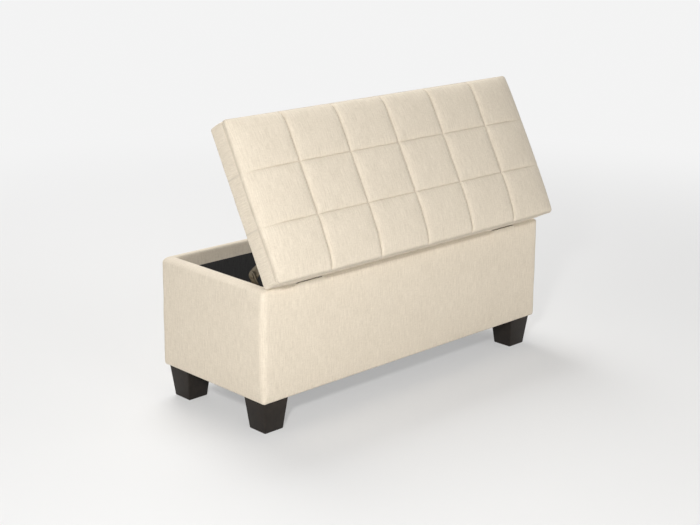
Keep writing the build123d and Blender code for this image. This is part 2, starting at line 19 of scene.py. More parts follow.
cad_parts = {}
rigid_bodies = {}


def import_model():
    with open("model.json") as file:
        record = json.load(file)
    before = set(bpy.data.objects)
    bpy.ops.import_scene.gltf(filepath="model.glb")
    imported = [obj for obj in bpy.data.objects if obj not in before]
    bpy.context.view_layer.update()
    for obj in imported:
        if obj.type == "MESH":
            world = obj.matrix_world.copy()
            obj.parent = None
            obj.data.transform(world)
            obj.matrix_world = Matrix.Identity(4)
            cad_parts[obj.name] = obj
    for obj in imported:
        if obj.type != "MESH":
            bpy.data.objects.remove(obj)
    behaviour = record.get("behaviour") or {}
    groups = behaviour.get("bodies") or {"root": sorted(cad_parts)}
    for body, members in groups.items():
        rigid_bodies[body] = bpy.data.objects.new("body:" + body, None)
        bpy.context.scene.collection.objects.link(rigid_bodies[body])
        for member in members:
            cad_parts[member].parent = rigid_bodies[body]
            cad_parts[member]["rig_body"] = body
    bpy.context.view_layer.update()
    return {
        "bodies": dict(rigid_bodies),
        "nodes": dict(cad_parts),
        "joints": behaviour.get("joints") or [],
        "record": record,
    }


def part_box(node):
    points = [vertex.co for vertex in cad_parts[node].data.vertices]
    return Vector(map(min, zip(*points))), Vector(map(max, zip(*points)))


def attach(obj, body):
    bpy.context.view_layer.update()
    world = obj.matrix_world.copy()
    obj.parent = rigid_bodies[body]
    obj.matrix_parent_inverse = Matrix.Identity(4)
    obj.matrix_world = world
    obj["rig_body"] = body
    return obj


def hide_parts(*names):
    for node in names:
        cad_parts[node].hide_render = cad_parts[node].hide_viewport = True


log = logging.getLogger("storage_bench")

Triple = tuple[float, float, float]

CLOTH_MAP = "cloth"
# Vertex attribute of the painted shade in seams and creases, which darkens the cloth's colour
PAINTED_SEAM_SHADE = "seam"
MM = 0.001
BUMP_STRENGTH = 0.7
LINING_THICKNESS = 0.6 * MM


class Side(Enum):
    """Which end of the bench a fitting is at."""

    LEFT = "left"
    RIGHT = "right"


class Corner(Enum):
    """Which corner of the box a foot stands at."""

    HINGE_LEFT = "hinge_left"
    HINGE_RIGHT = "hinge_right"
    FRONT_LEFT = "front_left"
    FRONT_RIGHT = "front_right"


class Body(Enum):
    """Moving bodies that new pieces ride on."""

    BOX = "box"
    LID = "lid"


class Slot(Enum):
    """Material slots of the record, one named with each new piece."""

    FABRIC = "cream_fabric"
    LINING = "black_lining"
    DUST_CLOTH = "black_dust_cloth"
    FOAM = "seat_foam"
    FOOT = "black_foot"
    BRONZE = "bronze_steel"
    ZINC = "zinc_steel"
    NYLON = "nylon"


class Facing(Enum):
    """Which way the open face of a cloth panel looks."""

    UP = 1
    DOWN = -1


# Reading the frame


def points_of(node: str) -> np.ndarray:
    """Vertices of a CAD node at rest, as rows of x, y, z."""
    return coordinates(bpy.data.objects[node])


def moved(points: np.ndarray, matrix: Matrix) -> np.ndarray:
    """Points turned and shifted by a matrix.

    Args:
        points: Rows of x, y, z.
        matrix: Placement to apply.

    Returns:
        The moved points.
    """
    grid = np.array(matrix)
    return points @ grid[:3, :3].T + grid[:3, 3]


@dataclass(frozen=True)
class LidPlace:
    """Where the lid stands: the matrix takes a lid lying shut at the origin to its open place."""

    matrix: Matrix

    @classmethod
    def from_frame(cls, frame: dict) -> "LidPlace":
        """Read the hinge axis and the open angle from the lid's joint.


        Returns:
            The lid's place.
        """
        hinge = next(joint for joint in frame["joints"] if joint["name"] == "lid_hinge")
        angle = math.radians(-min(hinge["range_deg"]))
        return cls(Matrix.Translation(hinge["pos_m"]) @ Matrix.Rotation(angle, 4, "X"))

    def box(self, node: str) -> tuple[np.ndarray, np.ndarray]:
        """Lowest and highest corner of a lid node, with the lid lying shut.

        Args:
            node: Name of the node.

        Returns:
            The two corners.
        """
        points = moved(points_of(node), self.matrix.inverted())
        return points.min(0), points.max(0)


# Mesh tools


def deselect() -> None:
    """Leave nothing selected, so that an operator acts on one piece alone."""
    bpy.ops.object.select_all(action="DESELECT")


def activate(piece: Object) -> None:
    """Make a piece the only selected object and the active one.

    Args:
        piece: The piece.
    """
    deselect()
    piece.select_set(True)
    bpy.context.view_layer.objects.active = piece


def coordinates(piece: Object) -> np.ndarray:
    """Vertices of a piece.

    Args:
        piece: The piece.

    Returns:
        Rows of x, y, z, in the order of its vertices.
    """
    points = np.zeros(len(piece.data.vertices) * 3, np.float32)
    piece.data.vertices.foreach_get("co", points)
    return points.reshape(-1, 3).astype(float)


def set_coordinates(piece: Object, points: np.ndarray) -> None:
    """Move every vertex of a piece to its row of points."""
    piece.data.vertices.foreach_set("co", points.astype(np.float32).ravel())
    piece.data.update()


def apply_modifiers(piece: Object) -> None:
    """Apply all modifiers of a piece, in order.

    Args:
        piece: The piece.
    """
    activate(piece)
    for modifier in list(piece.modifiers):
        bpy.ops.object.modifier_apply(modifier=modifier.name)


def smooth(piece: Object, angle: float = 40.0) -> None:
    """Shade a piece smooth, apart from edges sharper than an angle in degrees."""
    activate(piece)
    bpy.ops.object.shade_smooth_by_angle(angle=math.radians(angle))


def place(piece: Object, matrix: Matrix) -> None:
    """Put a piece in its place by its mesh, with its object left at the origin."""
    piece.data.transform(matrix)
    piece.data.update()


def thicken(piece: Object, thickness: float) -> None:
    """Give a sheet its thickness, on the side away from its faces.

    Args:
        piece: The sheet.
        thickness: Its thickness, in metres.
    """
    solid = piece.modifiers.new("thickness", "SOLIDIFY")
    solid.thickness = thickness
    solid.offset = -1
    apply_modifiers(piece)


def ease_edges(piece: Object, width: float, segments: int, over: float = 30.0) -> None:
    """Round the edges of a piece.

    Args:
        piece: The piece.
        width: Width of the rounding, in metres.
        segments: Number of faces across it.
        over: Least angle of the edges that are rounded, in degrees.
    """
    bevel = piece.modifiers.new("eased_edges", "BEVEL")
    bevel.width = width
    bevel.segments = segments
    bevel.limit_method = "ANGLE"
    bevel.angle_limit = math.radians(over)
    apply_modifiers(piece)


def named_primitive(name: str) -> Object:
    """The primitive that was just added, under its own name.

    Args:
        name: Name of the piece.

    Returns:
        The piece.
    """
    piece = bpy.context.object
    piece.name = piece.data.name = name
    return piece


def block(name: str, middle: tuple[float, ...], size: tuple[float, ...]) -> Object:
    """New box about a middle, with its place in its mesh.

    Args:
        name: Name of the piece.
        middle: Its middle.
        size: Its length on each axis.

    Returns:
        The box.
    """
    deselect()
    bpy.ops.mesh.primitive_cube_add(size=1, location=middle)
    piece = named_primitive(name)
    bpy.ops.transform.resize(value=size)
    bpy.ops.object.transform_apply(location=True, scale=True)
    return piece


def select_faces(piece: Object, test: Callable[[MeshPolygon], bool]) -> None:
    """Go into edit mode with the faces of the active piece selected that pass a test.

    Args:
        piece: The active piece.
        test: Says whether a face is selected.
    """
    bpy.ops.object.mode_set(mode="EDIT")
    bpy.ops.mesh.select_all(action="DESELECT")
    bpy.ops.object.mode_set(mode="OBJECT")
    for face in piece.data.polygons:
        face.select = test(face)
    bpy.ops.object.mode_set(mode="EDIT")


def object_from(name: str, points: np.ndarray, faces: list, cloth: np.ndarray | None = None) -> Object:
    """New mesh object, with a cloth map where its corners have one.

    Args:
        name: Name of the piece.
        points: Rows of x, y, z.
        faces: Vertex numbers of each face.
        cloth: One row of u, v for each face corner, in metres.

    Returns:
        The object, linked to the scene.
    """
    mesh = bpy.data.meshes.new(name)
    mesh.from_pydata(points.tolist(), [], [list(face) for face in faces])
    piece = bpy.data.objects.new(name, mesh)
    bpy.context.scene.collection.objects.link(piece)
    if cloth is not None:
        layer = mesh.uv_layers.new(name=CLOTH_MAP)
        layer.data.foreach_set("uv", cloth.astype(np.float32).ravel())
    return piece


def map_cloth(piece: Object, across: np.ndarray, along: np.ndarray) -> None:
    """Give a piece a cloth map from a pair of lengths at each vertex.

    Args:
        piece: The piece.
        across: Length across the threads at each vertex, in metres.
        along: Length along the threads at each vertex, in metres.
    """
    mesh = piece.data
    layer = mesh.uv_layers.get(CLOTH_MAP) or mesh.uv_layers.new(name=CLOTH_MAP)
    corners = np.zeros(len(mesh.loops), np.int32)
    mesh.loops.foreach_get("vertex_index", corners)
    cloth = np.stack([across[corners], along[corners]], 1)
    layer.data.foreach_set("uv", cloth.astype(np.float32).ravel())


def paint_seam_shade(piece: Object, share: np.ndarray) -> None:
    """Write the painted shade of seams and creases at each vertex, for the cloth's finish to darken its
    colour by.

    Args:
        piece: Mesh of the cloth.
        share: From 0, plain cloth, to 1, the full painted shade at the bottom of a seam, at each vertex.
    """
    layer = piece.data.attributes.new(PAINTED_SEAM_SHADE, "FLOAT", "POINT")
    layer.data.foreach_set("value", np.asarray(share, dtype=np.float32))


def drop_other_maps(piece: Object) -> None:
    """Keep only the cloth map of a piece."""
    for layer in [layer for layer in piece.data.uv_layers if layer.name != CLOTH_MAP]:
        piece.data.uv_layers.remove(layer)


@dataclass(frozen=True)
class Loop:
    """Closed rounded rectangle, sampled alike at every size so that rings can be skinned.

    The samples start on the hinge side and run towards +X first.
    """

    half_x: float
    half_y: float
    radius: float
    middle_y: float = 0.0
    along_x: int = 150
    along_y: int = 60
    corner: int = 8
    least_radius: float = 0.6 * MM

    def inset(self, distance: float) -> "Loop":
        """The loop drawn in by a distance, its corners kept from folding over."""
        radius = max(self.radius - distance, self.least_radius)
        return replace(self, half_x=self.half_x - distance, half_y=self.half_y - distance, radius=radius)

    def _side(self, side: int) -> tuple[int, np.ndarray]:
        """Number of samples on a side, and the angles of those round the corner after it."""
        count = self.along_y if side % 2 else self.along_x
        return count, np.linspace(0, math.pi / 2, self.corner, endpoint=False) + (side - 1) * math.pi / 2

    def points(self) -> np.ndarray:
        """Points round the loop.

        Returns:
            Rows of x, y.
        """
        x, y = self.half_x, self.half_y
        in_x, in_y = x - self.radius, y - self.radius
        starts = ((-in_x, -y), (x, -in_y), (in_x, y), (-x, in_y))
        ends = ((in_x, -y), (x, in_y), (-in_x, y), (-x, -in_y))
        corners = ((in_x, -in_y), (in_x, in_y), (-in_x, in_y), (-in_x, -in_y))
        rows = []
        for side in range(4):
            count, turn = self._side(side)
            share = np.linspace(0, 1, count, endpoint=False)[:, None]
            rows.append(np.array(starts[side]) * (1 - share) + np.array(ends[side]) * share)
            rows.append(np.array(corners[side]) + np.stack([np.cos(turn), np.sin(turn)], 1) * self.radius)
        return np.concatenate(rows) + np.array([0, self.middle_y])

    def outward(self) -> np.ndarray:
        """Unit normals of the loop at its points.

        Returns:
            Rows of x, y, pointing out.
        """
        parts = []
        for side in range(4):
            count, turn = self._side(side)
            parts += [np.full(count, turn[0]), turn]
        angles = np.concatenate(parts)
        return np.stack([np.cos(angles), np.sin(angles)], 1)


def steps_round(ring: np.ndarray) -> np.ndarray:
    """Length of each step round a closed ring of points."""
    return np.linalg.norm(ring - np.roll(ring, -1, 0), axis=1)


def length_along(path: np.ndarray) -> np.ndarray:
    """Length from the start of an open path to each of its points."""
    return np.concatenate([[0], np.cumsum(np.linalg.norm(np.diff(path, axis=0), axis=1))])


def at_level(flat: np.ndarray, level: float | np.ndarray) -> np.ndarray:
    """Rows of x, y, z from a plan's points and their height, or a height for each."""
    return np.column_stack([flat, np.full(len(flat), level)])


def skin(name: str, rings: list[np.ndarray]) -> Object:
    """Cloth skinned over closed rings of equal counts.

    Args:
        name: Name of the piece.
        rings: Rows of x, y, z for each ring. Seen from outside, the rings run upwards.

    Returns:
        The object, with a cloth map that runs round the rings and across them.
    """
    count = len(rings[0])
    longest = max(rings, key=lambda ring: steps_round(ring).sum())
    around = np.concatenate([[0], np.cumsum(steps_round(longest))])
    gaps = [np.linalg.norm(upper - lower, axis=1).mean() for lower, upper in zip(rings, rings[1:])]
    across = np.concatenate([[0], np.cumsum(gaps)])
    faces, cloth = [], []
    for row in range(len(rings) - 1):
        low, high = row * count, (row + 1) * count
        below, above = across[row], across[row + 1]
        for step in range(count):
            after = (step + 1) % count
            faces.append((low + step, low + after, high + after, high + step))
            left, right = around[step], around[step + 1]
            cloth += [(left, below), (right, below), (right, above), (left, above)]
    return object_from(name, np.concatenate(rings), faces, np.array(cloth))


@dataclass(frozen=True)
class SoftNoise:
    """Smooth seeded unevenness of cloth: a sum of plane waves of about one length."""

    seed: int
    length: float
    waves: int = 14
    shortest: float = 0.6
    longest: float = 1.7

    def at(self, across: np.ndarray, along: np.ndarray) -> np.ndarray:
        """Unevenness from about -1 to 1 at points of a surface.

        Args:
            across: First coordinate of the points, in metres.
            along: Second coordinate of the points, in metres.

        Returns:
            One value for each point.
        """
        draw = np.random.default_rng(self.seed)
        total = np.zeros_like(across)
        for _ in range(self.waves):
            angle, phase = draw.uniform(0, 2 * math.pi, 2)
            pace = 2 * math.pi / (self.length * draw.uniform(self.shortest, self.longest))
            total += np.sin((across * math.cos(angle) + along * math.sin(angle)) * pace + phase)
        return total / math.sqrt(self.waves)


def soft_step(value: np.ndarray) -> np.ndarray:
    """Smooth rise from 0 to 1 as a value goes from 0 to 1."""
    share = np.clip(value, 0, 1)
    return share * share * (3 - 2 * share)


# Materials


class NodeSheet:
    """Short hand for the nodes of one material or node group."""

    def __init__(self, tree: NodeTree) -> None:
        """Start on an emptied node tree."""
        self.tree = tree
        tree.nodes.clear()

    def add(self, kind: str, inputs: dict | None = None, **settings: object) -> Node:
        """Add a node.

        Args:
            kind: Blender's name of the node type.
            inputs: Values or linked sockets by input name or number.
            settings: Properties of the node.

        Returns:
            The node.
        """
        node = self.tree.nodes.new(kind)
        for name, value in settings.items():
            setattr(node, name, value)
        for key, value in (inputs or {}).items():
            if isinstance(value, NodeSocket):
                self.tree.links.new(value, node.inputs[key])
            else:
                node.inputs[key].default_value = value
        return node

    def link(self, source: NodeSocket, node: Node, entry: str) -> None:
        """Join an output to a named input of a node."""
        self.tree.links.new(source, node.inputs[entry])

    def maths(self, operation: str, first: object, second: object = 0.0) -> NodeSocket:
        """Output of a Math node on two values or sockets."""
        return self.add("ShaderNodeMath", {0: first, 1: second}, operation=operation).outputs[0]

    def stretched(self, vector: NodeSocket, scale: Triple) -> NodeSocket:
        """A vector multiplied by a scale on each axis."""
        return self.add("ShaderNodeVectorMath", {0: vector, 1: scale}, operation="MULTIPLY").outputs[0]

    def noise(self, vector: NodeSocket, scale: object, detail: float = 2.0) -> NodeSocket:
        """Value of a Noise texture."""
        inputs = {"Vector": vector, "Scale": scale, "Detail": detail}
        return self.add("ShaderNodeTexNoise", inputs).outputs[0]

    def ramp(self, value: NodeSocket, low: float, high: float) -> NodeSocket:
        """A value mapped from low and high to 0 and 1, clamped."""
        inputs = {"Value": value, "From Min": low, "From Max": high}
        return self.add("ShaderNodeMapRange", inputs).outputs[0]

    def mix(self, share: object, first: object, second: object) -> NodeSocket:
        """Colour between two colours."""
        return self.add("ShaderNodeMix", {0: share, 6: first, 7: second}, data_type="RGBA").outputs[2]

    def seen_rays(self) -> NodeSocket:
        """Mask of the rays that show the backdrop straight, mirrored or through glass.

        Returns:
            1 on those rays, and 0 on the ones that light the bench.
        """
        path = self.add("ShaderNodeLightPath").outputs
        seen = self.maths("MAXIMUM", path["Is Camera Ray"], path["Is Glossy Ray"])
        return self.maths("MAXIMUM", seen, path["Is Transmission Ray"])


def rgba(colour: Triple) -> tuple[float, float, float, float]:
    """A colour with full alpha."""
    return (*colour, 1.0)


@dataclass(frozen=True)
class Streak:
    """Uneven threads of one size: how tightly they lie each way, and their share of the shade."""

    across: float
    along: float
    share: float

    def build(self, sheet: NodeSheet, cloth: NodeSocket) -> NodeSocket:
        """The streaks' part of the shade, on a cloth map."""
        streaks = sheet.noise(sheet.stretched(cloth, (self.across, self.along, 1)), 1.0)
        return sheet.maths("MULTIPLY", streaks, self.share)


@dataclass(frozen=True)
class Effects:
    """Node groups that several finishes share, each built once."""

    slub: Streak = Streak(400.0, 30.0, 0.36)
    fleck: Streak = Streak(600.0, 120.0, 0.26)
    cross: Streak = Streak(60.0, 520.0, 0.22)
    cloud: Streak = Streak(14.0, 10.0, 0.08)
    darkest: float = 0.33
    lightest: float = 0.59
    middle: float = 0.42
    weave_height: float = 0.25
    slub_height: float = 4.0
    patch_detail: float = 4.0
    flat_pointiness: float = 0.5

    @staticmethod
    def _group(name: str, inputs: dict[str, tuple[str, object]], outputs: tuple[str, ...]) -> NodeTree:
        """New empty shader node group.

        Args:
            name: Name of the group.
            inputs: Socket type and default value by name.
            outputs: Names of its outputs, all plain values.

        Returns:
            The group.
        """
        group = bpy.data.node_groups.new(name, "ShaderNodeTree")
        for label, (kind, default) in inputs.items():
            socket = group.interface.new_socket(label, in_out="INPUT", socket_type=kind)
            if default is not None:
                socket.default_value = default
        for label in outputs:
            group.interface.new_socket(label, in_out="OUTPUT", socket_type="NodeSocketFloat")
        return group

    def weave(self) -> NodeTree:
        """Woven cloth: slubs along both threads, and the bumps of the weave.

        Returns:
            The group.
        """
        group = self._group(
            "woven_cloth",
            {
                "Cloth": ("NodeSocketVector", None),
                "Pitch": ("NodeSocketFloat", 1.7 * MM),
                "Slub": ("NodeSocketFloat", 1.0),
            },
            ("Shade", "Height"),
        )
        sheet = NodeSheet(group)
        entry = sheet.add("NodeGroupInput").outputs
        split = sheet.add("ShaderNodeSeparateXYZ", {0: entry["Cloth"]}).outputs
        streaks = (self.slub, self.fleck, self.cross, self.cloud)
        slub, fleck, cross, cloud = (streak.build(sheet, entry["Cloth"]) for streak in streaks)
        threads = sheet.maths("ADD", sheet.maths("ADD", slub, fleck), cross)
        shade = sheet.ramp(sheet.maths("ADD", threads, cloud), self.darkest, self.lightest)
        pace = sheet.maths("DIVIDE", 2 * math.pi, entry["Pitch"])
        warp = sheet.maths("SINE", sheet.maths("MULTIPLY", split[0], pace))
        weft = sheet.maths("SINE", sheet.maths("MULTIPLY", split[1], pace))
        bumps = sheet.maths("MULTIPLY", sheet.maths("MULTIPLY", warp, weft), self.weave_height)
        slubs = sheet.maths("MULTIPLY", sheet.maths("SUBTRACT", threads, self.middle), entry["Slub"])
        height = sheet.maths("ADD", bumps, sheet.maths("MULTIPLY", slubs, self.slub_height))
        sheet.add("NodeGroupOutput", {"Shade": shade, "Height": height})
        return group

    def highlight_and_wear(self) -> NodeTree:
        """Mask that is high on outer edges, broken up by patches, for a painted highlight on the edges
        together with scuffing.

        Returns:
            The group.
        """
        group = self._group(
            "edge_wear",
            {
                "Place": ("NodeSocketVector", None),
                "Patch": ("NodeSocketFloat", 60.0),
                "Reach": ("NodeSocketFloat", 0.06),
            },
            ("Edge", "Patches"),
        )
        sheet = NodeSheet(group)
        entry = sheet.add("NodeGroupInput").outputs
        point = sheet.add("ShaderNodeNewGeometry").outputs["Pointiness"]
        lifted = sheet.maths("DIVIDE", sheet.maths("SUBTRACT", point, self.flat_pointiness), entry["Reach"])
        edge = sheet.add("ShaderNodeClamp", {"Value": lifted}).outputs[0]
        patch = sheet.noise(entry["Place"], entry["Patch"], self.patch_detail)
        sheet.add("NodeGroupOutput", {"Edge": sheet.maths("MULTIPLY", edge, patch), "Patches": patch})
        return group


@dataclass(frozen=True)
class Finish:
    """Base of every finish: a name, a main colour and a roughness."""

    name: str
    colour: Triple
    roughness: float

    def _start(self) -> tuple[Material, NodeSheet, Node]:
        """New material with its Principled shader.

        Returns:
            The material, its sheet of nodes and its shader.
        """
        material = bpy.data.materials.new(self.name)
        material.use_nodes = True
        sheet = NodeSheet(material.node_tree)
        shader = sheet.add("ShaderNodeBsdfPrincipled")
        shader.inputs["Base Color"].default_value = rgba(self.colour)
        shader.inputs["Roughness"].default_value = self.roughness
        sheet.add("ShaderNodeOutputMaterial", {"Surface": shader.outputs[0]})
        material.diffuse_color = rgba(self.colour)
        return material, sheet, shader

    def _vary(self, sheet: NodeSheet, shader: Node, value: NodeSocket, less: float, more: float) -> None:
        """Let the roughness follow a value, from less than the plain one to more."""
        inputs = {"Value": value, "To Min": self.roughness - less, "To Max": self.roughness + more}
        sheet.link(sheet.add("ShaderNodeMapRange", inputs).outputs[0], shader, "Roughness")

    @staticmethod
    def _bump(sheet: NodeSheet, shader: Node, height: NodeSocket, distance: float) -> None:
        """Raise the surface by a height socket, over a distance in metres."""
        inputs = {"Height": height, "Distance": distance, "Strength": BUMP_STRENGTH}
        sheet.link(sheet.add("ShaderNodeBump", inputs).outputs[0], shader, "Normal")


@dataclass(frozen=True)
class WovenFinish(Finish):
    """Woven upholstery cloth with slubs, on the piece's own cloth map, darkened by painted shade in its
    seams and creases.
    """

    dark: Triple
    pitch: float
    relief: float
    sheen: float
    # Share of the dark colour that the painted shade in seams darkens to
    seam_shade: float = 0.5
    sheen_roughness: float = 0.5
    specular: float = 0.25

    def build(self, weave_group: NodeTree) -> Material:
        """Make the material.

        Args:
            weave_group: The shared group of woven cloth.

        Returns:
            The material.
        """
        material, sheet, shader = self._start()
        cloth = sheet.add("ShaderNodeUVMap", uv_map=CLOTH_MAP).outputs[0]
        weave = sheet.add("ShaderNodeGroup", node_tree=weave_group)
        weave.inputs["Pitch"].default_value = self.pitch
        sheet.link(cloth, weave, "Cloth")
        colour = sheet.mix(weave.outputs["Shade"], rgba(self.dark), rgba(self.colour))
        # Painted shade: the colour darkens towards a shaded dark colour where the seam attribute says a
        # seam or crease lies
        seam = sheet.add("ShaderNodeAttribute", attribute_name=PAINTED_SEAM_SHADE).outputs["Fac"]
        shaded = tuple(channel * self.seam_shade for channel in self.dark)
        sheet.link(sheet.mix(seam, colour, rgba(shaded)), shader, "Base Color")
        shader.inputs["Sheen Weight"].default_value = self.sheen
        shader.inputs["Sheen Roughness"].default_value = self.sheen_roughness
        shader.inputs["Specular IOR Level"].default_value = self.specular
        self._bump(sheet, shader, weave.outputs["Height"], self.relief)
        return material


@dataclass(frozen=True)
class PressedFinish(Finish):
    """Thin non-woven dust cloth, pressed with rows of dots."""

    dot_pitch: float
    dot: tuple[float, float] = (0.18, 0.34)
    fibre: Triple = (260.0, 190.0, 1.0)
    fibre_range: tuple[float, float] = (0.35, 0.75)
    fibre_light: float = 3.2
    fibre_height: float = 0.6
    relief: float = 0.25 * MM

    def build(self) -> Material:
        """Make the material.

        Returns:
            The material.
        """
        material, sheet, shader = self._start()
        cloth = sheet.add("ShaderNodeUVMap", uv_map=CLOTH_MAP).outputs[0]
        rows = {"Vector": cloth, "Scale": 1 / self.dot_pitch, "Randomness": 0.0}
        dots = sheet.add("ShaderNodeTexVoronoi", rows).outputs[0]
        fibre = sheet.noise(sheet.stretched(cloth, self.fibre), 1.0, 5.0)
        light = tuple(self.fibre_light * channel for channel in self.colour)
        colour = sheet.mix(sheet.ramp(fibre, *self.fibre_range), rgba(self.colour), rgba(light))
        sheet.link(colour, shader, "Base Color")
        raised = sheet.maths("MULTIPLY", fibre, self.fibre_height)
        self._bump(sheet, shader, sheet.maths("ADD", sheet.ramp(dots, *self.dot), raised), self.relief)
        return material


@dataclass(frozen=True)
class PaintedWoodFinish(Finish):
    """Satin paint over wood: faint grain, brush patches, and edges lightened by a painted highlight and
    scuffing.
    """

    # Lighter colour of the edges: a painted highlight and scuffing
    highlight_and_wear_colour: Triple
    grain: Triple = (260.0, 260.0, 14.0)
    edge_share: float = 1.2
    grain_share: float = 0.14
    specular: float = 0.18
    relief: float = 0.25 * MM

    def build(self, highlight_and_wear_group: NodeTree) -> Material:
        """Make the material.

        Args:
            highlight_and_wear_group: The shared group of the edges' painted highlight and scuffing.

        Returns:
            The material.
        """
        material, sheet, shader = self._start()
        spot = sheet.add("ShaderNodeTexCoord").outputs["Object"]
        highlight_and_wear = sheet.add("ShaderNodeGroup", node_tree=highlight_and_wear_group)
        sheet.link(spot, highlight_and_wear, "Place")
        grain = sheet.noise(sheet.stretched(spot, self.grain), 1.0, 4.0)
        # Painted highlight with scuffing on the edges, plus faint grain, mixes towards the lighter colour
        highlight_and_scuffs = sheet.maths("MULTIPLY", highlight_and_wear.outputs["Edge"], self.edge_share)
        share = sheet.maths("ADD", highlight_and_scuffs, sheet.maths("MULTIPLY", grain, self.grain_share))
        sheet.link(sheet.mix(share, rgba(self.colour), rgba(self.highlight_and_wear_colour)), shader, "Base Color")
        self._vary(sheet, shader, highlight_and_wear.outputs["Patches"], 0.08, 0.12)
        shader.inputs["Specular IOR Level"].default_value = self.specular
        self._bump(sheet, shader, grain, self.relief)
        return material


@dataclass(frozen=True)
class MetalFinish(Finish):
    """Plated steel: drawn streaks, cloudy plating, and edges lightened by a painted highlight and scuffing.
    """

    # Lighter colour of the cloudy plating, and of the edges, where it is a painted highlight with scuffing
    highlight_and_wear_colour: Triple
    streak: Triple = (900.0, 120.0, 120.0)
    patch: float = 110.0
    cloud_range: tuple[float, float] = (0.35, 0.7)
    cloud_share: float = 0.45
    relief: float = 0.06 * MM

    def build(self, highlight_and_wear_group: NodeTree) -> Material:
        """Make the material.

        Args:
            highlight_and_wear_group: The shared group of the edges' painted highlight and scuffing.

        Returns:
            The material.
        """
        material, sheet, shader = self._start()
        spot = sheet.add("ShaderNodeTexCoord").outputs["Object"]
        highlight_and_wear = sheet.add("ShaderNodeGroup", node_tree=highlight_and_wear_group)
        highlight_and_wear.inputs["Patch"].default_value = self.patch
        sheet.link(spot, highlight_and_wear, "Place")
        streaks = sheet.noise(sheet.stretched(spot, self.streak), 1.0, 3.0)
        cloud = sheet.ramp(highlight_and_wear.outputs["Patches"], *self.cloud_range)
        # Cloudy plating, and a painted highlight with scuffing on the edges, mix towards the lighter colour
        share = sheet.maths("ADD", sheet.maths("MULTIPLY", cloud, self.cloud_share), highlight_and_wear.outputs["Edge"])
        sheet.link(sheet.mix(share, rgba(self.colour), rgba(self.highlight_and_wear_colour)), shader, "Base Color")
        self._vary(sheet, shader, streaks, 0.1, 0.12)
        shader.inputs["Metallic"].default_value = 1.0
        self._bump(sheet, shader, streaks, self.relief)
        return material


@dataclass(frozen=True)
class GrainedFinish(Finish):
    """Plain matter with a fine grain, such as board, foam or nylon."""

    light: Triple
    grain: float
    relief: float
    grain_range: tuple[float, float] = (0.3, 0.7)

    def build(self) -> Material:
        """Make the material.

        Returns:
            The material.
        """
        material, sheet, shader = self._start()
        spot = sheet.add("ShaderNodeTexCoord").outputs["Object"]
        grain = sheet.noise(spot, self.grain, 5.0)
        share = sheet.ramp(grain, *self.grain_range)
        sheet.link(sheet.mix(share, rgba(self.colour), rgba(self.light)), shader, "Base Color")
        self._bump(sheet, shader, grain, self.relief)
        return material


@dataclass(frozen=True)
class FloorFinish(Finish):
    """Plain studio floor that fades into the pale backdrop away from the bench."""

    backdrop: float
    near: float = 0.7
    far: float = 3.4
    least: float = 0.4

    def build(self) -> Material:
        """Make the material.

        Returns:
            The material.
        """
        material, sheet, shader = self._start()
        spot = sheet.add("ShaderNodeTexCoord").outputs["Object"]
        away = sheet.add("ShaderNodeVectorMath", {0: spot}, operation="LENGTH").outputs["Value"]
        span = {"Value": away, "From Min": self.near, "From Max": self.far, "To Min": self.least}
        fade = sheet.add("ShaderNodeMapRange", span, interpolation_type="SMOOTHSTEP")
        glow = sheet.add("ShaderNodeEmission", {"Strength": self.backdrop})
        share = sheet.maths("MULTIPLY", fade.outputs[0], sheet.seen_rays())
        mixed = sheet.add("ShaderNodeMixShader", {0: share, 1: shader.outputs[0], 2: glow.outputs[0]})
        output = next(node for node in sheet.tree.nodes if node.type == "OUTPUT_MATERIAL")
        sheet.link(mixed.outputs[0], output, "Surface")
        return material


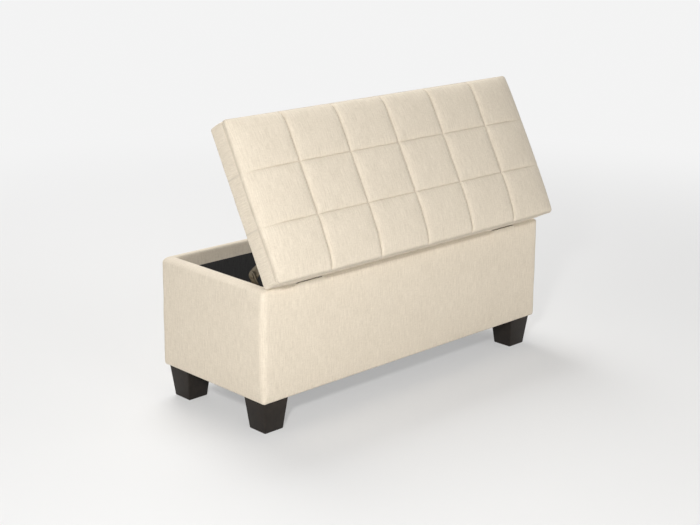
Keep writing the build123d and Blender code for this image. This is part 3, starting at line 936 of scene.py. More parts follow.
class Palette:
    """Every material of the bench, by what it covers."""

    def __init__(self) -> None:
        """Build the materials."""
        effects = Effects()
        weave, highlight_and_wear = effects.weave(), effects.highlight_and_wear()
        self.linen = WovenFinish(
            name="cream_linen",
            colour=(0.80, 0.715, 0.587),
            roughness=0.92,
            dark=(0.64, 0.56, 0.447),
            pitch=1.7 * MM,
            relief=0.30 * MM,
            sheen=0.12,
        ).build(weave)
        self.lining = WovenFinish(
            name="black_lining",
            colour=(0.050, 0.049, 0.049),
            roughness=0.85,
            dark=(0.026, 0.026, 0.026),
            pitch=1.3 * MM,
            relief=0.20 * MM,
            sheen=0.1,
        ).build(weave)
        self.dust_cloth = PressedFinish(
            name="black_dust_cloth", colour=(0.016, 0.016, 0.017), roughness=0.9, dot_pitch=2.4 * MM
        ).build()
        self.foot_paint = PaintedWoodFinish(
            name="black_foot_paint",
            colour=(0.0065, 0.0055, 0.0048),
            roughness=0.5,
            highlight_and_wear_colour=(0.04, 0.032, 0.026),
        ).build(highlight_and_wear)
        self.bronze = MetalFinish(
            name="bronze_steel", colour=(0.136, 0.115, 0.084), roughness=0.40, highlight_and_wear_colour=(0.21, 0.182, 0.132)
        ).build(highlight_and_wear)
        self.zinc = MetalFinish(
            name="zinc_steel", colour=(0.55, 0.55, 0.53), roughness=0.34, highlight_and_wear_colour=(0.75, 0.75, 0.73)
        ).build(highlight_and_wear)
        self.nylon = GrainedFinish(
            name="nylon",
            colour=(0.08, 0.07, 0.05),
            roughness=0.45,
            light=(0.11, 0.10, 0.075),
            grain=300.0,
            relief=0.05 * MM,
        ).build()
        self.board = GrainedFinish(
            name="board",
            colour=(0.42, 0.30, 0.19),
            roughness=0.75,
            light=(0.55, 0.42, 0.28),
            grain=180.0,
            relief=0.2 * MM,
        ).build()
        self.foam = GrainedFinish(
            name="seat_foam",
            colour=(0.72, 0.66, 0.46),
            roughness=0.95,
            light=(0.84, 0.79, 0.60),
            grain=420.0,
            relief=0.8 * MM,
        ).build()
        self.thread = GrainedFinish(
            name="seam_thread",
            colour=(0.70, 0.61, 0.48),
            roughness=0.7,
            light=(0.80, 0.72, 0.60),
            grain=1500.0,
            relief=0.05 * MM,
        ).build()


def dress(piece: Object, material: Material) -> None:
    """Give a piece one material."""
    piece.data.materials.clear()
    piece.data.materials.append(material)


def hand_in(piece: Object, body: Body, slot: Slot, *nodes: str) -> Object:
    """Settle a finished piece: keep only its cloth map, attach it to the body that it rides on and hide the
    nodes that it stands for.

    Args:
        piece: The piece.
        body: The body that it moves with.
        slot: Its material slot; not used.
        nodes: CAD nodes that it replaces.

    Returns:
        The piece.
    """
    drop_other_maps(piece)
    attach(piece, body.value)
    if nodes:
        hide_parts(*nodes)
    return piece


# Stitches, staples and screws


def scattered(name: str, model: Object, places: list[Matrix]) -> Object:
    """One piece of many copies of a small model, which is then removed.

    Args:
        name: Name of the piece.
        model: The model, shaped about the origin.
        places: Placement of each copy.

    Returns:
        The joined copies.
    """
    shape = coordinates(model)
    faces = [tuple(face.vertices) for face in model.data.polygons]
    points = np.concatenate([moved(shape, spot) for spot in places])
    firsts = [number * len(shape) for number in range(len(places))]
    copies = [tuple(corner + first for corner in face) for first in firsts for face in faces]
    bpy.data.objects.remove(model)
    return object_from(name, points, copies)


def rows_at(spots: np.ndarray, length: np.ndarray, rows: np.ndarray) -> np.ndarray:
    """Rows of three numbers along a path, read between its points at some lengths."""
    return np.stack([np.interp(spots, length, rows[:, axis]) for axis in range(3)], 1)


def along_path(path: np.ndarray, normals: np.ndarray, pitch: float) -> list[Matrix]:
    """Evenly spaced places along a path: X along it, Z along the surface normal.

    Args:
        path: Rows of x, y, z, in order.
        normals: Surface normal at each point of the path.
        pitch: Distance between places, in metres.

    Returns:
        The places.
    """
    length = length_along(path)
    spots = np.arange(pitch / 2, length[-1], pitch)
    centre = rows_at(spots, length, path)
    ahead = rows_at(spots + pitch / 4, length, path)
    behind = rows_at(spots - pitch / 4, length, path)
    upward = rows_at(spots, length, normals)
    places = []
    for spot, forward, normal in zip(centre, ahead - behind, upward):
        x_axis = Vector(forward).normalized()
        y_axis = Vector(normal).cross(x_axis).normalized()
        z_axis = x_axis.cross(y_axis)
        turn = Matrix((x_axis, y_axis, z_axis)).transposed().to_4x4()
        places.append(Matrix.Translation(spot) @ turn)
    return places


@dataclass(frozen=True)
class Stitch:
    """One visible stitch of a seam."""

    length: float = 3.2 * MM
    width: float = 0.9 * MM
    pitch: float = 4.2 * MM
    sides: int = 6
    rings: int = 4

    def model(self) -> Object:
        """Plump stitch lying along X at the origin.

        Returns:
            The stitch.
        """
        deselect()
        bpy.ops.mesh.primitive_uv_sphere_add(segments=self.sides, ring_count=self.rings, radius=0.5)
        piece = bpy.context.object
        bpy.ops.transform.resize(value=(self.width, self.width, self.length))
        bpy.ops.transform.rotate(value=math.pi / 2, orient_axis="Y", center_override=(0, 0, 0))
        bpy.ops.object.transform_apply(location=True, rotation=True, scale=True)
        return piece


@dataclass(frozen=True)
class Staple:
    """Crown of a wire staple that holds a hem to the board."""

    width: float = 11.0 * MM
    wire: float = 1.1 * MM
    pitch: float = 48.0 * MM
    flatness: float = 0.6
    edge: float = 0.25
    margin: float = 7.0 * MM
    corner: float = 10.0 * MM

    def model(self) -> Object:
        """Flat crown along X at the origin, its edges round.

        Returns:
            The crown.
        """
        piece = block("staple", (0, 0, 0), (self.width, self.wire, self.wire * self.flatness))
        ease_edges(piece, self.wire * self.edge, 2)
        return piece

    def row(self, name: str, low: np.ndarray, high: np.ndarray, matrix: Matrix) -> Object:
        """Staples round the edge of a cloth panel that faces down.

        Args:
            name: Name of the piece.
            low: Lowest corner of the panel, on its open face.
            high: Highest corner of the panel.
            matrix: Place of the panel.

        Returns:
            All the staples as one piece.
        """
        half = (high - low) / 2 - self.margin
        base = Loop(half[0], half[1], self.corner, (low + high)[1] / 2).points()
        down = np.tile((0.0, 0.0, -1.0), (len(base), 1))
        places = along_path(at_level(base, low[2]), down, self.pitch)
        piece = scattered(name, self.model(), [matrix @ spot for spot in places])
        smooth(piece)
        return piece


@dataclass(frozen=True)
class PanScrew:
    """Pan-head wood screw with a cross recess, standing on the underside of its head."""

    head_radius: float = 3.5 * MM
    head_height: float = 1.1 * MM
    dome: float = 0.75
    sides: int = 28
    recess: float = 0.7 * MM
    arm: float = 4.2 * MM
    arm_width: float = 0.9 * MM

    def model(self) -> Object:
        """Head of the screw, its underside at the origin and its top along Z.

        Returns:
            The head.
        """
        height = self.head_height
        deselect()
        bpy.ops.mesh.primitive_cylinder_add(
            vertices=self.sides, radius=self.head_radius, depth=height, location=(0, 0, height / 2)
        )
        head = bpy.context.object
        bpy.ops.object.transform_apply(location=True)
        select_faces(head, lambda face: face.normal.z > 0.9)
        bpy.ops.mesh.bevel(offset=height * self.dome, segments=5, profile=0.5)
        bpy.ops.object.mode_set(mode="OBJECT")
        cutters = []
        for size in ((self.arm, self.arm_width), (self.arm_width, self.arm)):
            cutters.append(block("recess", (0, 0, height), (*size, 2 * self.recess)))
        for cutter in cutters:
            cut = head.modifiers.new("recess", "BOOLEAN")
            cut.operation = "DIFFERENCE"
            cut.object = cutter
        apply_modifiers(head)
        for cutter in cutters:
            bpy.data.objects.remove(cutter)
        return head


# Swelling and thin cloth


@dataclass(frozen=True)
class Swelling:
    """How the cloth of a cushion swells in the simulation, and the furthest that a point may move."""

    cap: float = 1.8 * MM
    pressure: float = 4.0
    frames: int = 20
    quality: int = 4
    mass: float = 0.3
    stretch: float = 12.0
    shear: float = 6.0
    bending: float = 0.6
    least: float = 1e-6 * MM

    def inflate(self, piece: Object, free: np.ndarray) -> None:
        """Let a cushion swell, and keep each point within the cap of where it began.

        Args:
            piece: Closed mesh of the cushion.
            free: From 0, held, to 1, free, at each vertex.
        """
        before = coordinates(piece)
        pins = piece.vertex_groups.new(name="held")
        for number, share in enumerate(free):
            pins.add([number], float(1 - share), "REPLACE")
        cloth = piece.modifiers.new("swell", "CLOTH")
        settings = cloth.settings
        settings.quality = self.quality
        settings.mass = self.mass
        settings.tension_stiffness = self.stretch
        settings.compression_stiffness = self.stretch
        settings.shear_stiffness = self.shear
        settings.bending_stiffness = self.bending
        settings.vertex_group_mass = pins.name
        settings.use_pressure = True
        settings.uniform_pressure_force = self.pressure
        settings.effector_weights.gravity = 0.0
        cloth.point_cache.frame_start = 1
        cloth.point_cache.frame_end = self.frames
        for step in range(1, self.frames + 1):
            bpy.context.scene.frame_set(step)
        apply_modifiers(piece)
        piece.vertex_groups.clear()
        shift = coordinates(piece) - before
        reach = np.linalg.norm(shift, axis=1)
        log.info("%s: swelled %.1f mm at most before the cap", piece.name, reach.max() / MM)
        limited = self.cap * np.tanh(reach / self.cap)
        scale = np.where(reach > self.least, limited / np.maximum(reach, self.least), 0)
        set_coordinates(piece, before + shift * scale[:, None])
        bpy.context.scene.frame_set(1)


@dataclass(frozen=True)
class ClothPanel:
    """Flat panel of thin cloth over a board, slack by a little away from its edges."""

    name: str
    facing: Facing
    seed: int
    slack: float = 0.5 * MM
    wave: float = 60.0 * MM
    margin: float = 25.0 * MM
    steps: tuple[int, int] = (150, 60)

    def build(self, low: np.ndarray, high: np.ndarray, level: float) -> Object:
        """Make the panel.

        Args:
            low: Lowest corner of the panel.
            high: Highest corner of the panel.
            level: Height of its open face.

        Returns:
            The panel, with a cloth map.
        """
        deselect()
        across, along = self.steps
        bpy.ops.mesh.primitive_grid_add(x_subdivisions=across, y_subdivisions=along, size=1)
        piece = named_primitive(self.name)
        flat = low[:2] + (coordinates(piece)[:, :2] + 0.5) * (high - low)[:2]
        inward = soft_step(np.minimum(flat - low[:2], high[:2] - flat).min(1) / self.margin)
        wave = np.clip(SoftNoise(self.seed, self.wave).at(flat[:, 0], flat[:, 1]), -1, 1)
        drop = self.facing.value * self.slack * inward * (0.5 + 0.5 * wave)
        set_coordinates(piece, at_level(flat, level - drop))
        if self.facing is Facing.DOWN:
            activate(piece)
            bpy.ops.object.mode_set(mode="EDIT")
            bpy.ops.mesh.select_all(action="SELECT")
            bpy.ops.mesh.flip_normals()
            bpy.ops.object.mode_set(mode="OBJECT")
        map_cloth(piece, flat[:, 0], flat[:, 1])
        thicken(piece, LINING_THICKNESS)
        smooth(piece, 60.0)
        return piece


# Lid


def nearest(places: np.ndarray, seams: list[float]) -> np.ndarray:
    """Distance from each place to the nearest of some seams."""
    return np.min([np.abs(places - seam) for seam in seams], 0)


@dataclass(frozen=True)
class PaintedSeamShade:
    """Painted shade on the lid's cloth in its seams, in the creases of the boxing and round the edge of the
    top: how dark, from 0 to 1, and how far from them.
    """

    column: float = 0.5
    row: float = 0.10
    reach: float = 1.6 * MM
    rim: float = 0.35
    rim_margin: float = 12.0 * MM
    band_seam: float = 0.9
    band: float = 0.3
    strip_seam: float = 0.8
    strip_reach: float = 2.0 * MM
    crease: float = 0.3
    crease_reach: float = 2.2 * MM


@dataclass
class QuiltedLid:
    """The lid's soft pieces: quilted top, boxing strip, foam, dust cover, seams and staples."""

    palette: Palette
    at: LidPlace
    painted_shade: PaintedSeamShade = PaintedSeamShade()
    columns: int = 6
    rows: int = 3
    steps_across: int = 38
    steps_up: int = 32
    crowding: float = 0.85
    corner_radius: float = 9.0 * MM
    crown: float = 23.0 * MM
    puff: float = 3.0 * MM
    end_power: int = 8
    far_power: int = 10
    hinge_power: int = 4
    side_bow: float = 4.0 * MM
    column_depth: float = 8.0 * MM
    row_depth: float = 3.8 * MM
    channel: float = 13.0 * MM
    channel_room: float = 9.0 * MM
    row_fade: float = 95.0 * MM
    row_left: float = 0.2
    pucker: float = 0.22 * MM
    pucker_pitch: float = 11.0 * MM
    pucker_reach: float = 6.0 * MM
    pucker_drift: float = 2.2
    pucker_noise: SoftNoise = SoftNoise(3, 40 * MM)
    unevenness: float = 0.35 * MM
    cloth_noise: SoftNoise = SoftNoise(8, 70 * MM)
    gather_margin: float = 8.0 * MM
    seam_hold: float = 4.0 * MM
    edge_hold: float = 10.0 * MM
    swelling: Swelling = Swelling()
    band: float = 7.0 * MM
    groove: float = 2.2 * MM
    groove_drop: float = 1.1 * MM
    boxing_inset: float = 0.6 * MM
    boxing_wave: float = 0.4 * MM
    boxing_noise: SoftNoise = SoftNoise(5, 90 * MM)
    boxing_run: float = 2.84
    shown_inset: float = 4.0 * MM
    fold: float = 0.5 * MM
    fold_reach: float = 5.0 * MM
    end_face: float = 3.0 * MM
    side_face: float = 6.0 * MM
    hinge_lip: float = 4.0 * MM
    lip_fade: float = 90.0 * MM
    lip_left: float = 0.4
    hinge_overhang: float = 1.0 * MM
    flare: float = 2.0 * MM
    stitch_margin: float = 4.0 * MM
    lower_stitch: float = 2.0 * MM
    upper_stitch: float = 2.4 * MM
    cloth_thickness: float = 0.9 * MM
    foam_edge: float = 5.0 * MM
    foam_room: float = 0.4 * MM
    low: np.ndarray = field(init=False)
    high: np.ndarray = field(init=False)
    seam: float = field(init=False)
    edge: float = field(init=False)
    half_x: float = field(init=False)
    half_y: float = field(init=False)
    middle_y: float = field(init=False)
    column_seams: list[float] = field(init=False)
    row_seams: list[float] = field(init=False)

    def __post_init__(self) -> None:
        """Read the lid's sizes from the frame."""
        self.low, self.high = self.at.box("quilted_top")
        self.seam = self.low[2]
        self.edge = self.seam + self.band
        self.half_x = self.high[0]
        self.half_y = (self.high[1] - self.low[1]) / 2
        self.middle_y = (self.high[1] + self.low[1]) / 2
        self.column_seams = [(2 * k / self.columns - 1) * self.half_x for k in range(1, self.columns)]
        self.row_seams = [(2 * k / self.rows - 1) * self.half_y for k in range(1, self.rows)]

    def _graded(self, cells: int, steps: int, half: float) -> np.ndarray:
        """Grid lines over a length, closer together beside each seam.

        Args:
            cells: Number of cells between seams.
            steps: Number of grid steps in a cell.
            half: Half of the length.

        Returns:
            Places of the lines, from -half to half.
        """
        share = np.arange(steps) / steps
        graded = share - self.crowding * np.sin(2 * math.pi * share) / (2 * math.pi)
        lines = np.concatenate([cell + graded for cell in range(cells)] + [[cells]])
        return (2 * lines / cells - 1) * half

    def _from_edge(self, x: np.ndarray, y: np.ndarray) -> np.ndarray:
        """Distance from points of the top to its nearest edge."""
        return np.minimum(self.half_x - np.abs(x), self.half_y - np.abs(y))

    def _channel_at(self, distance: np.ndarray) -> np.ndarray:
        """Share of a channel's depth at distances from its seam."""
        nearness = np.clip(1 - distance / self.channel, 0, 1)
        return 1 - np.sqrt(1 - nearness**2)

    def _channels(self, x: np.ndarray, y: np.ndarray) -> np.ndarray:
        """Depth of the sewn channels below the cushions, the rows' fading towards the ends.

        Args:
            x: Places along the bench, from the middle of the lid.
            y: Places across the lid, from its middle.

        Returns:
            The depth at each place.
        """
        columns = self._channel_at(nearest(x, self.column_seams))
        rows = self._channel_at(nearest(y, self.row_seams))
        inward = soft_step((self.half_x - np.abs(x)) / self.row_fade)
        kept = self.row_left + (1 - self.row_left) * inward
        return self.column_depth * columns + self.row_depth * kept * rows * (1 - columns)

    def level(self, x: np.ndarray, y: np.ndarray) -> np.ndarray:
        """Height of the quilted top.

        Args:
            x: Places along the bench, from the middle of the lid.
            y: Places across the lid, from its middle.

        Returns:
            Heights over the hinge axis.
        """
        u, v = np.abs(x) / self.half_x, np.abs(y) / self.half_y
        side_power = np.where(y > 0, self.far_power, self.hinge_power)
        dome = np.sqrt(np.clip((1 - u**self.end_power) * (1 - v**side_power), 0, 1))
        column = 2 * np.mod((x / self.half_x + 1) / 2 * self.columns, 1) - 1
        row = 2 * np.mod((y / self.half_y + 1) / 2 * self.rows, 1) - 1
        rise = dome * (self.crown + self.puff * (1 - column**4) * (1 - row**4))
        return self.edge + rise - self._channels(x, y) * soft_step(rise / self.channel_room)

    def surface(self, x: np.ndarray, y: np.ndarray) -> np.ndarray:
        """Points of the quilted top for places on its square-cornered plan.

        Args:
            x: Places along the bench, from the middle of the lid.
            y: Places across the lid, from its middle.

        Returns:
            Rows of x, y, z, with round corners and sides that bow out.
        """
        radius = self.corner_radius
        a = np.clip(1 - (self.half_x - np.abs(x)) / radius, 0, 1)
        b = np.clip(1 - (self.half_y - np.abs(y)) / radius, 0, 1)
        inside = (a > 0) & (b > 0)
        corner_x = np.sign(x) * (self.half_x - radius * (1 - a * np.sqrt(1 - b**2 / 2)))
        corner_y = np.sign(y) * (self.half_y - radius * (1 - b * np.sqrt(1 - a**2 / 2)))
        u, v = x / self.half_x, y / self.half_y
        bow_x = self.side_bow * np.sign(u) * np.abs(u) ** 6 * (1 - v**2)
        bow_y = -0.5 * self.side_bow * np.abs(v) ** 6 * (1 - u**4)
        round_x = np.where(inside, corner_x, x) + bow_x
        round_y = np.where(inside, corner_y, y) + bow_y - self.hinge_overhang * np.clip(-v, 0, 1) ** 8
        return np.stack([round_x, round_y, self.level(x, y)], 1)

    def quilted_top(self) -> Object:
        """Closed quilted cushion of the top, inflated between its seams.

        Returns:
            The cushion.
        """
        across = self._graded(self.columns, self.steps_across, self.half_x)
        up = self._graded(self.rows, self.steps_up, self.half_y)
        columns, rows = len(across) - 1, len(up) - 1
        deselect()
        bpy.ops.mesh.primitive_grid_add(x_subdivisions=columns, y_subdivisions=rows, size=2)
        piece = named_primitive("lid_quilted_top")
        unit = coordinates(piece)
        x = across[np.rint((unit[:, 0] + 1) / 2 * columns).astype(int)]
        y = up[np.rint((unit[:, 1] + 1) / 2 * rows).astype(int)]
        set_coordinates(piece, self.surface(x, y))
        self._close_under(piece)
        self.swelling.inflate(piece, self._free_share(piece, len(unit)))
        self._gather(piece, len(unit))
        points = coordinates(piece)
        # Painted shade in the quilting seams, round the edge of the top and on the band of the double seam
        paint_seam_shade(piece, self._painted_seam_shade(x, y, points))
        map_cloth(piece, points[:, 0], points[:, 1] + self.edge - np.minimum(points[:, 2], self.edge))
        place(piece, self.at.matrix @ Matrix.Translation((0, self.middle_y, 0)))
        smooth(piece, 75.0)
        dress(piece, self.palette.linen)
        return hand_in(piece, Body.LID, Slot.FABRIC, "quilted_top")

    def _painted_seam_shade(self, x: np.ndarray, y: np.ndarray, points: np.ndarray) -> np.ndarray:
        """Painted shade at each vertex of the top, from 0 to 1: in the quilting seams, round the edge of
        the top and on the band of the double seam.

        Args:
            x: Places of the top's own vertices along the bench.
            y: Their places across the lid.
            points: Every vertex, the top's own first.

        Returns:
            The share at each vertex.
        """
        painted_shade = self.painted_shade
        column = painted_shade.column * np.exp(-((nearest(x, self.column_seams) / painted_shade.reach) ** 2))
        faint = painted_shade.row * soft_step((self.half_x - np.abs(x)) / self.row_fade)
        row = faint * np.exp(-((nearest(y, self.row_seams) / painted_shade.reach) ** 2))
        inside = soft_step(self._from_edge(x, y) / painted_shade.rim_margin)
        rim = painted_shade.rim * (1 - inside) ** 8
        top = np.maximum(np.maximum(column, row) * inside, rim)
        level = points[len(x) :, 2]
        sewn = np.isclose(level, self.edge - self.groove_drop) | np.isclose(level, self.seam)
        return np.concatenate([top, np.where(sewn, painted_shade.band_seam, painted_shade.band)])

    def _close_under(self, piece: Object) -> None:
        """Extrude the edge of the top down over the double seam's band, and close it underneath.

        Args:
            piece: The open top.
        """
        # Inset, share of the flare on the hinge side and level of each ring
        rings = (
            (self.groove, 0.0, self.edge - self.groove_drop),
            (0.1 * MM, 0.6, self.edge - 2.6 * MM),
            (0.0, 1.0, self.seam + 2.4 * MM),
            (self.groove, 1.0, self.seam),
        )
        activate(piece)
        bpy.ops.object.mode_set(mode="EDIT")
        bpy.ops.mesh.select_all(action="DESELECT")
        bpy.ops.mesh.select_non_manifold()
        last, opened = 0.0, 0.0
        for inset, flared, level in rings:
            bpy.ops.mesh.extrude_region_move(TRANSFORM_OT_translate={"value": (0, 0, 0)})
            bpy.ops.object.mode_set(mode="OBJECT")
            points = coordinates(piece)
            ring = np.array([vertex.select for vertex in piece.data.vertices])
            flat = points[ring, :2]
            reach = np.array([self.half_x, self.half_y]) - self.corner_radius
            beyond = np.sign(flat) * np.maximum(np.abs(flat) - reach, 0)
            outward = beyond / np.linalg.norm(beyond, axis=1)[:, None]
            spread = self.flare * np.clip(-outward[:, 1:], 0, 1) ** 2 * (flared - opened)
            points[ring, :2] = flat + outward * (spread - inset + last)
            points[ring, 2] = level
            set_coordinates(piece, points)
            last, opened = inset, flared
            bpy.ops.object.mode_set(mode="EDIT")
        bpy.ops.mesh.edge_face_add()
        bpy.ops.mesh.select_all(action="SELECT")
        bpy.ops.mesh.normals_make_consistent(inside=False)
        bpy.ops.object.mode_set(mode="OBJECT")

    def _free_share(self, piece: Object, top_count: int) -> np.ndarray:
        """How freely each vertex may swell: not at all on seams, edges and the underside.

        Args:
            piece: The closed cushion.
            top_count: Number of the top's own vertices, which come first.

        Returns:
            From 0, held, to 1, free, at each vertex.
        """
        x, y = coordinates(piece)[:, :2].T
        seam = np.minimum(nearest(x, self.column_seams), nearest(y, self.row_seams))
        free = soft_step(np.minimum(seam / self.seam_hold, self._from_edge(x, y) / self.edge_hold))
        free[top_count:] = 0
        return free

    def _gather(self, piece: Object, top_count: int) -> None:
        """Pucker the cloth along its seams, and leave it a little uneven.

        Args:
            piece: The closed cushion.
            top_count: Number of the top's own vertices, which come first.
        """
        points = coordinates(piece)
        x, y = points[:top_count, 0], points[:top_count, 1]
        drift = self.pucker_drift * self.pucker_noise.at(x, y)
        ripple = np.zeros(top_count)
        for seams, over, along in ((self.column_seams, x, y), (self.row_seams, y, x)):
            wave = np.sin(2 * math.pi * along / self.pucker_pitch + drift)
            for seam in seams:
                ripple += np.exp(-np.abs(over - seam) / self.pucker_reach) * wave
        inside = soft_step(self._from_edge(x, y) / self.gather_margin)
        uneven = self.unevenness * self.cloth_noise.at(x, y)
        points[:top_count, 2] += inside * (self.pucker * ripple + uneven)
        set_coordinates(piece, points)

    def _boxing_profile(self, hem: float, height: float) -> list[tuple[float, float]]:
        """Section of the boxing strip, from its hem under the board to its seam.

        Args:
            hem: Width of the hem.
            height: Height of the seam over the hem.

        Returns:
            Inset and rise of each ring.
        """
        first, last = 0.1, 0.93
        profile = [(hem + 2 * MM, 1.0 * MM), (hem, 0.3 * MM), (hem * 0.55, 0.1 * MM), (5 * MM, 0.0)]
        profile += [(2.0 * MM, 0.7 * MM), (0.7 * MM, 2.2 * MM)]
        for share in np.linspace(first, last, 11):
            bow = math.sin(math.pi * (share - first) / (last - first))
            profile.append((0.3 * MM - 0.8 * MM * bow, share * height))
        return profile + [(self.groove, height - 0.4 * MM), (4 * MM, height - 0.1 * MM)]

    def boxing(self) -> Object:
        """Boxing strip round the lid's edge, sewn to the top and turned under the board.

        Returns:
            The strip.
        """
        under = self.at.box("lid_boxing")[0][2]
        hem = self.half_x - self.at.box("lid_dust_cover")[1][0]
        height = self.seam - under
        whole = Loop(self.half_x, self.half_y, self.corner_radius, self.middle_y, along_x=300, along_y=150)
        outer = whole.inset(self.boxing_inset)
        base, outward = outer.points(), outer.outward()
        inward = soft_step((self.half_x - np.abs(base[:, 0])) / self.lip_fade)
        lip = self.hinge_lip * np.clip(-outward[:, 1], 0, 1) ** 2
        lip *= self.lip_left + (1 - self.lip_left) * inward
        around = np.arange(len(base)) / len(base) * self.boxing_run
        folds = self.fold * self._folds(base, self.fold_reach)
        rings = []
        for inset, rise in self._boxing_profile(hem, height):
            share = rise / height
            shown = inset < self.shown_inset
            wave = self.boxing_wave * np.abs(self.boxing_noise.at(around, np.full(len(base), rise)))
            out = wave * (0 < share < 0.8) - folds * np.clip(share, 0, 1) + lip * (1 - share) ** 1.5
            ring = outer.inset(inset).points() + outward * (shown * out)[:, None]
            rings.append(at_level(ring, under + rise))
        piece = skin("lid_boxing_strip", rings)
        thicken(piece, self.cloth_thickness)
        points = coordinates(piece)
        # Painted shade along the seam to the top and in the creases that run in from the quilting seams
        sewn = np.exp(-(((self.seam - points[:, 2]) / self.painted_shade.strip_reach) ** 2))
        creased = self._folds(points, self.painted_shade.crease_reach)
        paint_seam_shade(piece, np.maximum(self.painted_shade.strip_seam * sewn, self.painted_shade.crease * creased))
        place(piece, self.at.matrix)
        smooth(piece, 60.0)
        dress(piece, self.palette.linen)
        return hand_in(piece, Body.LID, Slot.FABRIC, "lid_boxing")

    def _folds(self, points: np.ndarray, reach: float) -> np.ndarray:
        """Share of the faint creases that run from the quilting seams into the boxing.

        Args:
            points: Places on the boxing, with the lid lying shut.
            reach: Half width of a crease.

        Returns:
            From 0, plain cloth, to 1, the middle of a crease, at each place.
        """
        x, y = points[:, 0], points[:, 1] - self.middle_y
        share = np.zeros(len(points))
        on_end = np.abs(x) > self.half_x - self.end_face
        on_side = np.abs(y) > self.half_y - self.side_face
        for seam in self.row_seams:
            share += on_end * np.exp(-(((y - seam) / reach) ** 2))
        for seam in self.column_seams:
            share += on_side * np.exp(-(((x - seam) / reach) ** 2))
        return share

    def seams(self) -> list[Object]:
        """Stitches of the double edge seam and of the quilting.

        Returns:
            The stitches of each.
        """
        loop = Loop(self.half_x, self.half_y, self.corner_radius, self.middle_y)
        base = np.vstack([loop.points(), loop.points()[:1]])
        normal = at_level(np.vstack([loop.outward(), loop.outward()[:1]]), 0.0)
        over = self.hinge_overhang + 0.8 * self.flare
        base[:, 1] -= over * (base[:, 1] < self.middle_y - self.half_y + self.corner_radius)
        places = []
        for rise in (self.seam + self.lower_stitch, self.edge - self.upper_stitch):
            places += along_path(at_level(base, rise), normal, Stitch.pitch)
        double = self._stitches("lid_edge_stitches", places)
        places = []
        for seam in self.column_seams:
            y = np.linspace(-self.half_y + self.stitch_margin, self.half_y - self.stitch_margin, 300)
            places += self._seam_places(np.full(len(y), seam), y)
        for seam in self.row_seams:
            x = np.linspace(-self.half_x + self.stitch_margin, self.half_x - self.stitch_margin, 700)
            places += self._seam_places(x, np.full(len(x), seam))
        return [double, self._stitches("lid_quilting_stitches", places)]

    def _seam_places(self, x: np.ndarray, y: np.ndarray) -> list[Matrix]:
        """Places of the stitches along one quilting seam.

        Args:
            x: Places along the bench, from the middle of the lid.
            y: Places across the lid, from its middle.

        Returns:
            The places, with the lid lying shut.
        """
        path = self.surface(x, y) + (0, self.middle_y, 0)
        normals = np.tile((0.0, 0.0, 1.0), (len(x), 1))
        return along_path(path, normals, Stitch.pitch)

    def _stitches(self, name: str, places: list[Matrix]) -> Object:
        """Make and dress the stitches of a seam, and attach them to the lid.

        Args:
            name: Name of the piece.
            places: Places of its stitches, with the lid lying shut.

        Returns:
            The stitches as one piece.
        """
        piece = scattered(name, Stitch().model(), [self.at.matrix @ spot for spot in places])
        smooth(piece, 80.0)
        dress(piece, self.palette.thread)
        return hand_in(piece, Body.LID, Slot.FABRIC)

    def foam(self) -> Object:
        """Foam block between the board and the quilting.

        Returns:
            The block.
        """
        low, high = self.at.box("lid_foam")
        piece = block("lid_foam_block", tuple((low + high) / 2), tuple(high - low - self.foam_room))
        ease_edges(piece, self.foam_edge, 3)
        place(piece, self.at.matrix)
        smooth(piece)
        dress(piece, self.palette.foam)
        return hand_in(piece, Body.LID, Slot.FOAM, "lid_foam")

    def dust_cover(self) -> list[Object]:
        """Dust cloth under the lid, stapled over the hem.

        Returns:
            The staples and the cloth.
        """
        low, high = self.at.box("lid_dust_cover")
        piece = ClothPanel("lid_dust_cloth", Facing.DOWN, seed=21).build(low, high, low[2] + 0.5 * MM)
        place(piece, self.at.matrix)
        dress(piece, self.palette.dust_cloth)
        staples = Staple().row("lid_staples", low, high, self.at.matrix)
        dress(staples, self.palette.zinc)
        return [
            hand_in(staples, Body.LID, Slot.ZINC),
            hand_in(piece, Body.LID, Slot.DUST_CLOTH, "lid_dust_cover"),
        ]

    def build(self) -> list[Object]:
        """Make every soft piece of the lid."""
        return [self.quilted_top(), self.boxing(), *self.seams(), self.foam(), *self.dust_cover()]


# Box


@dataclass
class Sleeve:
    """Plan of the box's cover, point by point round the box, and its rings from the hem to the band.

    The rim, the crest at its inner edge and the roll at its outer one are heights and a radius in metres.
    Corner and lip are shares from 0 to 1: how near a corner a point lies, and how far the cloth stands up
    in front of a hinge.
    """

    outer: Loop
    start: np.ndarray
    finish: np.ndarray
    outward: np.ndarray
    width: np.ndarray
    rim: np.ndarray
    crest: np.ndarray
    roll: np.ndarray
    corner: np.ndarray
    lip: np.ndarray
    rings: list[np.ndarray] = field(default_factory=list)

    def add(self, inset: float | np.ndarray, level: float | np.ndarray, out: float | np.ndarray) -> None:
        """Add a ring, from a value for all of its points or one for each.

        Args:
            inset: How far in from the outer loop it lies.
            level: Its height.
            out: How far the padding stands out there.
        """
        share = (inset / self.width)[:, None]
        padding = self.outward * np.full(len(self.start), out)[:, None]
        self.rings.append(at_level(self.start * (1 - share) + self.finish * share + padding, level))


